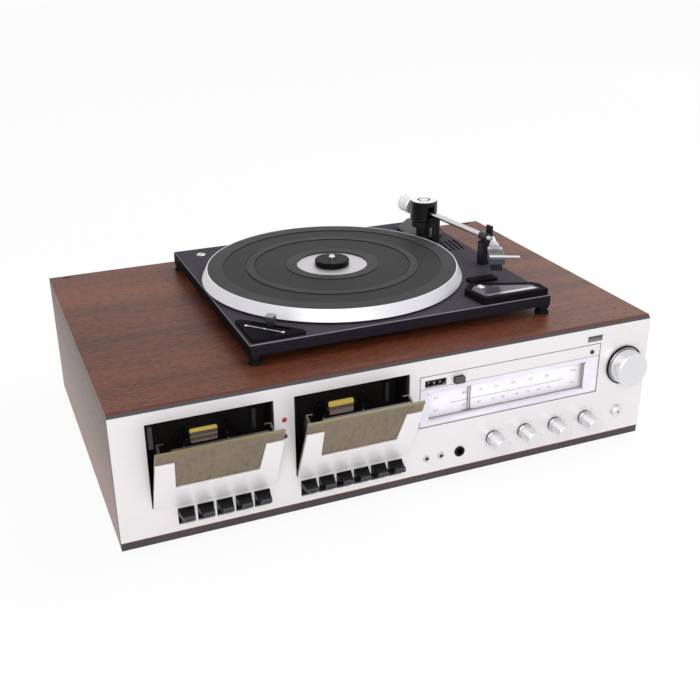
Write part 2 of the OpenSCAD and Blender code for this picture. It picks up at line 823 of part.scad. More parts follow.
module door_pocket(deck) {
    back = sheet_back - hinge_d;
    front = back - sheet_t;
    sheet_low = 1;
    ear_w = 3;
    gusset = [sheet_low + 1, 12];
    wall_t = 2;
    flange_w = 5;
    flange_t = 1.5;
    shelf_h = 13.5;
    shelf_w = 18;
    shelf_t = 2;
    bar_w = 88;
    bar_h = 6;
    channel_gap = 12;
    channel_d = cassette_d + flange_t;
    channel_h = door_h - channel_gap - shelf_h;
    color("olive", 0.7) swung(deck) {
        translate([-door_w/2, front, sheet_low]) cube([door_w, sheet_t, door_h - sheet_low]);
        translate([-bar_w/2, back, door_h - bar_h]) cube([bar_w, sheet_t, bar_h]);
        for (side = [0, 1]) mirror([side, 0, 0]) {
            translate([door_w/2 - ear_w, 0, 0]) rotate([0, 90, 0]) cylinder(r = eye_r, h = ear_w);
            translate([door_w/2 - ear_w, 0, 0]) rotate([90, 0, 90]) linear_extrude(ear_w)
                polygon([[back, gusset[0]], [back, gusset[1]], [0.5*eye_r, 0.8*eye_r],
                         [-0.9*eye_r, 0.3*eye_r]]);
            translate([door_w/2 - cut, 0, 0]) rotate([0, 90, 0]) cylinder(r = hinge_r, h = hinge_pin_l + cut);
            translate([cassette_w/2, back, shelf_h]) cube([wall_t, channel_d, channel_h]);
            translate([cassette_w/2 - flange_w, back + cassette_d, shelf_h])
                cube([flange_w + wall_t, flange_t, channel_h]);
            translate([cassette_w/2 - shelf_w, back, shelf_h]) cube([shelf_w + wall_t, channel_d, shelf_t]);
        }
    }
}

// Reel hub: turning disc, splined spindle and the shaft in the well's back wall
module reel_hub(deck, side) {
    x = deck_x[deck] + side*hub_pitch/2;
    h = key_field_h + hub_rise;
    table_r = 7.3;
    table_t = 3;
    core_r = 3;
    spindle_l = 13;
    spline_r = 4.6;
    spline_t = 1.2;
    spline_step = 60;
    nose_l = 3;
    tail_l = 3;
    face = well_d - slide_gap;
    nose = face - table_t - spindle_l;
    color("darkslategray") {
        deep_cylinder(x, h, face - table_t, table_t, table_r);
        deep_cylinder(x, h, nose, spindle_l + cut, core_r);
        deep_cylinder(x, h, face - cut, cut + slide_gap + well_wall + tail_l, hub_shaft_r);
        for (i = [0:2]) translate([x, depth(nose + nose_l), height(h)]) rotate([0, spline_step*i, 0])
            translate([-spline_r, 0, -spline_t/2]) cube([2*spline_r, spindle_l - nose_l + cut, spline_t]);
    }
}

// Head bridge: sliding plate on two guide pins, with the heads and the pinch roller
module head_bridge(deck) {
    x = deck_x[deck];
    bridge_low = 0.5;
    bridge = [66, 16];
    slot_r = guide_r + slide_gap;
    back = well_d - bridge_gap;
    face = back - bridge_t;
    head = [14, 20, 11];
    head_rise = 1;
    post_r = 1.5;
    post_x = 20;
    post_rise = 7;
    roller_r = 5;
    roller_l = 9;
    roller_d = 18;
    color("lightgray") {
        difference() {
            block(x - bridge[0]/2, face, key_field_h + bridge_low, [bridge[0], bridge_t, bridge[1]]);
            for (side = [-1, 1]) {
                for (drop = [0, head_travel])
                    deep_cylinder(x + side*guide_x, key_field_h + guide_h - drop, face - cut,
                                  bridge_t + 2*cut, slot_r);
                block(x + side*guide_x - slot_r, face - cut, key_field_h + guide_h - head_travel,
                      [2*slot_r, bridge_t + 2*cut, head_travel]);
            }
        }
        block(x - head[0]/2, face - head[1], key_field_h + bridge_low + head_rise,
              [head[0], head[1] + cut, head[2]]);
        for (side = [-1, 1])
            deep_cylinder(x + side*post_x, key_field_h + post_rise, face - head[1], head[1] + cut, post_r);
        deep_cylinder(x + post_x, key_field_h + post_rise, face - roller_d, roller_l, roller_r);
    }
}

// Piano key: hollowed ramp that narrows to a front lip, on a lever that turns on the pivot rod
module piano_key(deck, i) {
    x = key_x(deck, i) - key_w/2;
    top_gap = 0.7;
    press_room = 9.7;
    top = key_slot_z + key_slot_h - top_gap;
    low = key_slot_z + press_room;
    lip = 2.5;
    edge = 0.8;
    dish = 2.6;
    dip = top - dish;
    steps = 6;
    hub_r = 5;
    hub_in = 3;
    ramp = [for (s = [0:steps]) [(lip - key_reach)*(1 - s/steps), dip + (top - dip)*pow(s/steps, 2)]];
    color("black") difference() {
        union() {
            along_width(x, key_w) polygon(concat(
                [[key_pivot_d - hub_in, low], [edge - key_reach, low], [-key_reach, low + edge],
                 [-key_reach, dip + edge], [edge - key_reach, dip + 1.3*edge]],
                ramp,
                [[frame_back + edge, top], [key_pivot_d - hub_in, key_pivot_h + hub_r]]));
            wide_cylinder(x, key_w, key_pivot_d, key_pivot_h, hub_r);
        }
        wide_cylinder(x - cut, key_w + 2*cut, key_pivot_d, key_pivot_h, key_rod_r + bearing_play);
        translate([x + key_w/2, front_y, panel_z]) for (side = [0, 1]) mirror([side, 0, 0]) key_taper();
    }
}

// What a key's side loses in front of the panel
module key_taper() {
    slope = (key_w - key_lip_w)/2/key_reach;
    linear_extrude(panel_h) polygon([
        [key_w/2 + slope*cut, cut], [key_lip_w/2 - slope*cut, -key_reach - cut],
        [key_w/2 + 2*cut, -key_reach - cut], [key_w/2 + 2*cut, cut]]);
}

// Length of the frame's bosses, which the knobs' shafts run in
shaft_tail = 8;

// Round knob with a base ring and a groove over it, and its shaft in the frame's boss
module round_knob(x, h, outline) {
    base_gap = 0.6;
    tail_gap = 1;
    l = outline[len(outline) - 1][1];
    translate([x, depth(-base_gap), height(h)]) rotate([90, 0, 0]) rotate_extrude()
        polygon(concat([[0, 0]], outline, [[0, l]]));
    deep_cylinder(x, h, -base_gap - cut, base_gap + cut + frame_back + shaft_tail - tail_gap, shaft_r);
}

module tuning_knob() {
    ring_r = tuning_r + 3.2;
    ring_t = 1.8;
    waist_r = tuning_r + 1;
    chamfer = 1;
    color("silver") round_knob(tuning_x, tuning_z, [
        [ring_r, 0], [ring_r, ring_t], [waist_r, ring_t], [tuning_r, tuning_l - chamfer],
        [tuning_r - chamfer, tuning_l]]);
}

module small_knob(i) {
    ring_r = knob_r + 0.3;
    ring_t = 1.2;
    waist_r = knob_r - 0.7;
    collar_l = 4.6;
    groove = 0.8;
    chamfer = 0.6;
    color("silver") round_knob(knob_x[i], knob_z, [
        [ring_r, 0], [ring_r, ring_t], [waist_r, ring_t], [waist_r, collar_l], [waist_r - groove, collar_l],
        [waist_r - groove, collar_l + groove], [waist_r, collar_l + groove], [knob_r, knob_l - chamfer],
        [knob_r - chamfer, knob_l]]);
}

module power_button() {
    reach = 5;
    chamfer = 0.8;
    flange_t = 3;
    flange_r = power_r + 2;
    behind = reach + frame_back;
    color("silver") translate([power_x, depth(-reach), height(power_z)]) rotate([-90, 0, 0]) rotate_extrude()
        polygon([[0, 0], [power_r - chamfer, 0], [power_r, chamfer], [power_r, behind + slide_gap],
                 [flange_r, behind + slide_gap], [flange_r, behind + flange_t], [0, behind + flange_t]]);
}

module counter_wheels() {
    wheels = 3;
    wheel_gap = 0.6;
    wheel_w = counter_w/wheels - wheel_gap;
    overhang = wheel_side + cheek_t;
    color("black") {
        for (i = [0:wheels - 1])
            wide_cylinder(counter_x + wheel_gap/2 + i*(wheel_w + wheel_gap), wheel_w, wheel_d, wheel_z,
                          wheel_r);
        wide_cylinder(counter_x - overhang, counter_w + 2*overhang, wheel_d, wheel_z, axle_r);
    }
}

module counter_reset_button() {
    flange = 0.8;
    flange_t = 1.5;
    back = frame_back + slide_gap;
    color("black") {
        block(reset_x + slide_gap, -reset_reach, counter_z + slide_gap,
              [reset_w - 2*slide_gap, back + reset_reach + cut, reset_h - 2*slide_gap]);
        block(reset_x - flange, back, counter_z - flange, [reset_w + 2*flange, flange_t, reset_h + 2*flange]);
    }
}

module chassis() {
    into_wall = 1;
    boss_r = chassis_foot_inset - chassis_wall + into_wall;
    motor_hole_r = 4;
    color("black") {
        difference() {
            union() {
                chassis_tray();
                speed_plate();
                badge_step();
                rest_block();
            }
            chassis_hollow();
            chassis_bore(platter_x, platter_y, spindle_r + bearing_play);
            chassis_bore(motor_x, motor_y, motor_hole_r);
            chassis_bore(arm_x, arm_y, pivot_r + slide_gap);
            lever_slot();
            chassis_vents();
        }
        bearing();
        at_chassis_feet() translate([0, 0, chassis_z]) cylinder(r = boss_r, h = chassis_h - cut);
    }
}

// Rounded tray with a bevel along its upper edges
module chassis_tray() {
    bevel = 1.4;
    bar = bevel*sqrt(2);
    difference() {
        translate([chassis_left, chassis_y, chassis_z])
            linear_extrude(chassis_h) rounded_rectangle(chassis_w, chassis_d, chassis_round);
        for (y = [chassis_y, chassis_y + chassis_d])
            translate([chassis_left - cut, y, deck_z]) rotate([45, 0, 0])
                translate([0, -bar/2, -bar/2]) cube([chassis_w + 2*cut, bar, bar]);
        for (x = [chassis_left, chassis_right])
            translate([x, chassis_y - cut, deck_z]) rotate([0, 45, 0])
                translate([-bar/2, 0, -bar/2]) cube([bar, chassis_d + 2*cut, bar]);
    }
}

// Round hole through the chassis' top
module chassis_bore(x, y, r) {
    translate([x, y, deck_z - chassis_wall - cut]) cylinder(r = r, h = chassis_wall + 2*cut);
}

// Puts a child over each of the chassis' feet
module at_chassis_feet() {
    for (x = [chassis_left + chassis_foot_inset, chassis_right - chassis_foot_inset],
         y = [chassis_y + chassis_foot_inset, chassis_y + chassis_d - chassis_foot_inset])
        translate([x, y, 0]) children();
}

// Slots beside the arm
module chassis_vents() {
    vents = 4;
    pitch = 6;
    vent = [3, 40];
    from_right = 17;
    from_front = 190;
    slant = -7;
    for (i = [0:vents - 1])
        translate([chassis_right - from_right + (i - (vents - 1)/2)*pitch, chassis_y + from_front, 0])
            rotate([0, 0, slant]) translate([-vent[0]/2, -vent[1]/2, deck_z - chassis_wall - cut])
                cube([vent[0], vent[1], chassis_wall + 2*cut]);
}

module chassis_hollow() {
    inner_r = 2;
    translate([chassis_left + chassis_wall, chassis_y + chassis_wall, chassis_z - cut])
        linear_extrude(chassis_h - chassis_wall + cut)
            rounded_rectangle(chassis_w - 2*chassis_wall, chassis_d - 2*chassis_wall, inner_r);
}

module bearing() {
    floor_t = 2;
    translate([platter_x, platter_y, bearing_floor - floor_t]) difference() {
        cylinder(r = bearing_r, h = bearing_depth + floor_t - cut);
        translate([0, 0, floor_t]) cylinder(r = spindle_r + bearing_play, h = bearing_depth);
    }
}

// Raised corner plate for the speed lever
module speed_plate() {
    e = speed_plate_edge;
    translate([chassis_left, chassis_y, deck_z - cut]) linear_extrude(speed_plate_h + cut) polygon([
        [e, e], [e + speed_plate_w, e], [e + speed_plate_w, e + speed_plate_end],
        [e + speed_plate_end, e + speed_plate_w], [e, e + speed_plate_w]]);
}

module lever_slot() {
    slot_l = 2*lever_travel + lever_stem_w + 2;
    translate([lever_x, lever_y, deck_z - chassis_wall - cut]) rotate([0, 0, lever_turn])
        translate([-slot_l/2, -lever_stem_w/2 - slide_gap, 0])
            cube([slot_l, lever_stem_w + 2*slide_gap, speed_plate_h + chassis_wall + 3*cut]);
}

// Raised panel at the front right corner, with a sunk field
module badge_step() {
    step_h = 7;
    sink = 1;
    translate([chassis_right, chassis_y, 0]) difference() {
        translate([0, 0, deck_z - cut]) linear_extrude(step_h + cut)
            polygon([[-4, 1.5], [-80, 1.5], [-85, 35], [-71, 49], [-8, 25], [-4, 19]]);
        translate([0, 0, deck_z + step_h - sink]) linear_extrude(sink + cut)
            polygon([[-9, 7], [-75, 7], [-79, 33], [-69, 43], [-12, 21]]);
    }
}

// Low block behind the bare panel, under the arm's head
module rest_block() {
    size = [32, 13, 3.5];
    from_right = 62;
    from_front = 60;
    translate([chassis_right - from_right, chassis_y + from_front, deck_z - cut])
        cube([size[0], size[1], size[2] + cut]);
}

// What stands on the chassis for the arm: pivot column, lift post and rest
module arm_pedestal() {
    post = [11, 9];
    tab = [3, 17];
    flange_r = 14.5;
    flange_t = 7;
    lift_r = 5;
    lift_top = arm_rise - tube_r - slide_gap;
    bar = [23, 4, 2.2];
    bar_shift = 3;
    rest_top = arm_rise - rest_collar_r - slide_gap;
    color("dimgray") translate([arm_x, arm_y, deck_z]) {
        difference() {
            union() {
                cylinder(r = pedestal_r, h = pedestal_h);
                pedestal_plate();
                cylinder(r = column_r, h = column_top);
                translate([0, 0, column_top - flange_t]) cylinder(r = flange_r, h = flange_t);
            }
            translate([0, 0, -cut]) cylinder(r = pivot_r + bearing_play, h = column_top + 2*cut);
        }
        rotate([0, 0, arm_heading]) {
            translate([0, -lift_from_pivot, 0]) {
                cylinder(r = lift_r, h = lift_top);
                translate([bar_shift - bar[0]/2, -bar[1]/2, lift_top - bar[2]]) cube(bar);
            }
            translate([0, -rest_from_pivot, 0]) {
                translate([-post[0]/2, -post[1]/2, 0]) cube([post[0], post[1], rest_top]);
                translate([rest_collar_r + slide_gap, -post[1]/2, 0])
                    cube([tab[0], post[1], rest_top + tab[1]]);
            }
        }
    }
}

// Raised plate behind the pivot, with a slanted rear corner
module pedestal_plate() {
    left = pedestal_r - 0.5;
    back = arm_from_rear - 3.5;
    right = arm_from_right - 6;
    slant = [28, 27.5];
    point = 20.6;
    linear_extrude(pedestal_h) polygon([
        [-left, 0], [right, 0], [right, back], [slant[0] - point, back], [-point, back - slant[1]]]);
}

module chassis_feet() {
    neck = 1.8;
    step = 0.5;
    r = chassis_foot_r;
    h = chassis_foot_h;
    at_chassis_feet() translate([0, 0, top_z]) rotate_extrude()
        polygon([[0, 0], [r, 0], [r, 0.4*h], [r - neck, 0.45*h], [r - neck, 0.6*h], [r - step, 0.65*h],
                 [r - step, h], [0, h]]);
}

module drive_motor() {
    shaft_sink = 18;
    color("silver") translate([motor_x, motor_y, deck_z - chassis_wall - motor_h]) difference() {
        cylinder(r = motor_r, h = motor_h);
        translate([0, 0, motor_h - shaft_sink])
            cylinder(r = motor_shaft_r + bearing_play, h = shaft_sink + cut);
    }
}

module motor_pulley() {
    shaft_l = 14;
    flange_t = 0.8;
    flange_r = pulley_r + 1;
    top = flange_t + belt_h;
    color("goldenrod") translate([motor_x, motor_y, belt_z - flange_t]) {
        rotate_extrude() polygon([[0, 0], [flange_r, 0], [pulley_r, flange_t], [pulley_r, top], [0, top]]);
        translate([0, 0, -shaft_l]) cylinder(r = motor_shaft_r, h = shaft_l + cut);
    }
}

// Flat belt: two arcs round the drive rim and the pulley, and the straight runs between
module drive_belt() {
    big = drive_rim_r + slide_gap;
    small = pulley_r + slide_gap;
    spread = acos((big - small)/motor_distance);
    run = sqrt(pow(motor_distance, 2) - pow(big - small, 2));
    color("black") translate([platter_x, platter_y, belt_z]) rotate([0, 0, motor_angle]) {
        rotate([0, 0, spread]) rotate_extrude(angle = 360 - 2*spread)
            translate([big, 0]) square([belt_t, belt_h]);
        translate([motor_distance, 0, 0]) rotate([0, 0, -spread]) rotate_extrude(angle = 2*spread)
            translate([small, 0]) square([belt_t, belt_h]);
        rotate([0, 0, spread]) translate([big, -run, 0]) cube([belt_t, run, belt_h]);
        rotate([0, 0, -spread]) translate([big, 0, 0]) cube([belt_t, run, belt_h]);
    }
}

module platter() {
    outer = mat_r + slide_gap + rim_top_w;
    seat = rim_h - mat_t;
    under = seat - disc_t;
    hub_h = seat + hub_disc_t;
    collar_r = 14;
    collar_t = 3;
    skirt = 4;
    skirt_low = belt_z - rim_z - slide_gap;
    rim_in = mat_r - 3;
    bore = spindle_r + 0.02;
    color("silver") translate([platter_x, platter_y, rim_z]) rotate_extrude($fn = 120) polygon([
        [bore, under - collar_t], [collar_r, under - collar_t], [collar_r, under],
        [drive_rim_r - skirt, under], [drive_rim_r - skirt, skirt_low], [drive_rim_r, skirt_low],
        [drive_rim_r, under], [rim_in, under], [rim_in, 0], [outer + rim_spread, 0], [outer, rim_h],
        [outer - rim_top_w, rim_h], [outer - rim_top_w, seat], [hub_disc_r, seat], [hub_disc_r, hub_h],
        [bore, hub_h]]);
}

module platter_mat() {
    fields = [[0.374, 0.625], [0.70, 0.88]];
    lines = [0.625, 0.70];
    sink = 0.6;
    line_w = 1.2;
    color("dimgray") translate([platter_x, platter_y, mat_z]) difference() {
        cylinder(r = mat_r, h = mat_t, $fn = 120);
        translate([0, 0, -cut]) cylinder(r = hub_disc_r + slide_gap, h = mat_t + 2*cut);
        for (field = fields) mat_groove(field[0]*mat_r, field[1]*mat_r, sink);
        for (line = lines) mat_groove(line*mat_r - line_w/2, line*mat_r + line_w/2, 2*sink);
    }
}

// Ring to cut out of the mat's upper face
module mat_groove(inner, outer, sink) {
    translate([0, 0, mat_t - sink]) difference() {
        cylinder(r = outer, h = sink + cut, $fn = 120);
        translate([0, 0, -cut]) cylinder(r = inner, h = sink + 3*cut, $fn = 120);
    }
}

module center_spindle() {
    low = bearing_floor + slide_gap;
    length = mat_z + mat_t + spindle_rise - low;
    cone = 2.5;
    nose_r = spindle_r - 1.2;
    nose = 0.6;
    color("silver") translate([platter_x, platter_y, low]) rotate_extrude() polygon([
        [0, 0], [spindle_r, 0], [spindle_r, length - cone], [nose_r, length - nose], [0, length]]);
}

module record_adaptor() {
    bore = spindle_r + 0.1;
    edge = 0.8;
    dish_w = 1;
    dish = 0.6;
    color("black") translate([platter_x, platter_y, hub_z]) rotate_extrude() polygon([
        [bore, 0], [adaptor_r - edge, 0], [adaptor_r, edge], [adaptor_r, adaptor_h - edge],
        [adaptor_r - edge, adaptor_h], [bore + dish_w, adaptor_h], [bore, adaptor_h - dish]]);
}

// Puts a child in the arm's own frame: origin on the lift axis, -Y along the tube
module at_arm() {
    translate([arm_x, arm_y, arm_z]) rotate([0, 0, arm_heading]) children();
}

module arm_yoke() {
    slot_w = arm_block_w + 2*slide_gap;
    slot_low = tube_r + 4.2;
    slot_high = tube_r + 4.5;
    bevel = 1.2;
    ring = [6, 7.6];
    ring_sink = 1;
    plate_r = 10;
    foot_gap = 1;
    pin_hole_r = cross_pin_r + bearing_play;
    color("black") at_arm() {
        difference() {
            rotate_extrude() polygon([
                [0, -drum_low], [drum_r, -drum_low], [drum_r, drum_high - bevel], [drum_r - bevel, drum_high],
                [ring[1], drum_high], [ring[1], drum_high - ring_sink], [ring[0], drum_high - ring_sink],
                [ring[0], drum_high], [0, drum_high]]);
            translate([-slot_w/2, -drum_r - cut, -slot_low])
                cube([slot_w, 2*drum_r + 2*cut, slot_low + slot_high]);
            translate([-drum_r - cut, 0, 0]) rotate([0, 90, 0])
                cylinder(r = pin_hole_r, h = 2*drum_r + 2*cut);
        }
        translate([0, 0, -drum_low - yoke_plate_t + slide_gap])
            cylinder(r = plate_r, h = yoke_plate_t - slide_gap + cut);
        translate([0, 0, foot_gap - arm_rise - chassis_wall])
            cylinder(r = pivot_r, h = arm_rise + chassis_wall - drum_low);
    }
}

module arm_tube() {
    stub_l = 46;
    block_l = 16;
    pin_gap = 1;
    knuckle_r = tube_r + 0.4;
    collar_r = tube_r + 1.3;
    collar_l = 7;
    rest_l = 11;
    color("silver") at_arm() {
        translate([0, stub_l, 0]) rotate([90, 0, 0]) cylinder(r = tube_r, h = stub_l + tube_l);
        translate([-arm_block_w/2, -block_l/2, -arm_block_w/2]) cube([arm_block_w, block_l, arm_block_w]);
        translate([pin_gap - drum_r, 0, 0]) rotate([0, 90, 0])
            cylinder(r = cross_pin_r, h = 2*(drum_r - pin_gap));
        translate([0, rest_l/2 - rest_from_pivot, 0]) rotate([90, 0, 0])
            cylinder(r = rest_collar_r, h = rest_l);
        translate([0, -tube_l, 0]) rotate([0, 0, -head_bend]) {
            sphere(knuckle_r);
            rotate([90, 0, 0]) cylinder(r = tube_r, h = neck_l);
            translate([0, collar_l - neck_l, 0]) rotate([90, 0, 0]) cylinder(r = collar_r, h = collar_l);
        }
    }
}

// Puts a child in the head's frame: origin where the neck ends, -Y towards the stylus
module at_head() {
    at_arm() translate([0, -tube_l, 0]) rotate([0, 0, -head_bend]) translate([0, -neck_l, 0]) children();
}

head_w = 16;
head_l = 41;
head_t = 3;

module headshell() {
    shoulder = 12;
    socket_r = 5.5;
    ribs = 6;
    rib_pitch = 2.4;
    groove = [1.1, 15, 0.8];
    strip = [head_w + 16, 2.4, 1.2];
    strip_rise = 0.6;
    color("gray") at_head() {
        difference() {
            union() {
                translate([0, 0, -head_t/2]) linear_extrude(head_t) {
                    translate([-head_w/2, -head_l]) square([head_w, head_l - shoulder]);
                    translate([0, -shoulder]) circle(head_w/2);
                }
                rotate([90, 0, 0]) cylinder(r = socket_r, h = shoulder);
            }
            for (i = [0:ribs - 1])
                translate([(i - (ribs - 1)/2)*rib_pitch - groove[0]/2, -head_l - cut, head_t/2 - groove[2]])
                    cube([groove[0], groove[1] + cut, groove[2] + cut]);
        }
        translate([-head_w/2, -head_l, head_t/2 + strip_rise - strip[2]]) cube(strip);
    }
}

module cartridge() {
    upper = [17, 20, 6];
    lower = [12, 15, 7];
    setback = 1;
    stylus_r = 1.2;
    tip_r = 0.3;
    stylus_l = 0.8;
    stylus_back = 4;
    color("black") at_head() translate([0, setback - head_l, -head_t/2]) {
        translate([-upper[0]/2, 0, -upper[2]]) cube(upper);
        translate([-lower[0]/2, 0, -upper[2] - lower[2]]) cube([lower[0], lower[1], lower[2] + cut]);
        translate([0, stylus_back, -upper[2] - lower[2] - stylus_l])
            cylinder(r1 = tip_r, r2 = stylus_r, h = stylus_l + cut);
    }
}

module counterweight() {
    place = drum_r + 6;
    bore = tube_r + bearing_play;
    edge = 1;
    grooves = 4;
    groove = [1, 0.7];
    pitch = weight_l/(grooves + 1);
    cuts = [for (i = [1:grooves], p = [[0, -1], [1, -1], [1, 1], [0, 1]])
        [weight_r - p[0]*groove[1], i*pitch + p[1]*groove[0]/2]];
    color("silver") at_arm() translate([0, place, 0]) rotate([-90, 0, 0]) rotate_extrude() polygon(concat(
        [[bore, 0], [weight_r - edge, 0], [weight_r, edge]], cuts,
        [[weight_r, weight_l - edge], [weight_r - edge, weight_l], [bore, weight_l]]));
}

module speed_lever() {
    grip = [9, 10];
    grip_h = 11;
    grip_round = 2;
    neck_w = 5.6;
    neck_h = 5;
    foot_w = 8;
    foot_t = 1.5;
    stem_l = speed_plate_h + chassis_wall + slide_gap + foot_t;
    color("black") translate([lever_x, lever_y, deck_z + speed_plate_h]) rotate([0, 0, lever_turn]) {
        translate([-grip[0]/2, -grip[1]/2, slide_gap + neck_h])
            linear_extrude(grip_h - neck_h) rounded_rectangle(grip[0], grip[1], grip_round);
        translate([-neck_w/2, -neck_w/2, slide_gap]) cube([neck_w, neck_w, neck_h + cut]);
        translate([-lever_stem_w/2, -lever_stem_w/2, -stem_l])
            cube([lever_stem_w, lever_stem_w, stem_l + cut]);
        translate([-foot_w/2, -foot_w/2, -stem_l]) cube([foot_w, foot_w, foot_t]);
    }
}

cabinet_top();
cabinet_sides();
base_panel();
rear_panel();
front_frame();
front_panel();
rubber_feet();
rear_terminals();
dial_bezel();
dial_scale();
dial_window();
front_jacks();
indicator_leds();
cassette_wells();
lamp_plates();
chassis();
arm_pedestal();
drive_motor();
drive_belt();
dial_pointer();
tuning_knob();
small_knob(0);  // function_knob
small_knob(1);  // tone_knob
small_knob(2);  // balance_knob
small_knob(3);  // volume_knob
power_button();
counter_wheels();
counter_reset_button();
door_plate(left_deck);  // left_door_plate
door_pocket(left_deck);  // left_door_pocket
door_plate(right_deck);  // right_door_plate
door_pocket(right_deck);  // right_door_pocket
reel_hub(left_deck, -1);  // left_supply_hub
reel_hub(left_deck, 1);  // left_takeup_hub
reel_hub(right_deck, -1);  // right_supply_hub
reel_hub(right_deck, 1);  // right_takeup_hub
head_bridge(left_deck);  // left_head_bridge
head_bridge(right_deck);  // right_head_bridge
piano_key(left_deck, 0);  // left_play_key
piano_key(left_deck, 1);  // left_rewind_key
piano_key(left_deck, 2);  // left_forward_key
piano_key(left_deck, 3);  // left_stop_key
piano_key(left_deck, 4);  // left_pause_key
piano_key(right_deck, 0);  // right_record_key
piano_key(right_deck, 1);  // right_play_key
piano_key(right_deck, 2);  // right_rewind_key
piano_key(right_deck, 3);  // right_forward_key
piano_key(right_deck, 4);  // right_stop_key
piano_key(right_deck, 5);  // right_pause_key
platter();
platter_mat();
center_spindle();
record_adaptor();
motor_pulley();
arm_yoke();
arm_tube();
headshell();
cartridge();
counterweight();
speed_lever();
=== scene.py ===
import math

import bmesh
import bpy
from mathutils import Euler, Matrix, Vector


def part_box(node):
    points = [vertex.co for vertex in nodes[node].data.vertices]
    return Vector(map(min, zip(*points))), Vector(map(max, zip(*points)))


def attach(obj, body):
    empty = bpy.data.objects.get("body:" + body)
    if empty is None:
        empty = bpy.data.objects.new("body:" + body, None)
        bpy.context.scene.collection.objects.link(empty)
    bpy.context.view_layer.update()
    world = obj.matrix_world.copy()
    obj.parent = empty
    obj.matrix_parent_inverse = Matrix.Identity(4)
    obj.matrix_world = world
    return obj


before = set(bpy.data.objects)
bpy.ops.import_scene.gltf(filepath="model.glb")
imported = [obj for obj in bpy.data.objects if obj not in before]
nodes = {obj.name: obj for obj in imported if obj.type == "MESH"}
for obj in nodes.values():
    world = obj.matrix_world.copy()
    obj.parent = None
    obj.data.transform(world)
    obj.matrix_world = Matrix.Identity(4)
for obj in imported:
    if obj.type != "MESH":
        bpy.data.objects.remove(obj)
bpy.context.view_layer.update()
MM = 0.001


def linear(red, green, blue):
    """A colour given as 0 to 255 screen values, for a shader's socket."""
    def one(value):
        share = value / 255
        return share / 12.92 if share <= 0.04045 else ((share + 0.055) / 1.055) ** 2.4
    return (one(red), one(green), one(blue), 1.0)


def shade(colour, share):
    return tuple(min(1.0, part * share) for part in colour[:3]) + (1.0,)


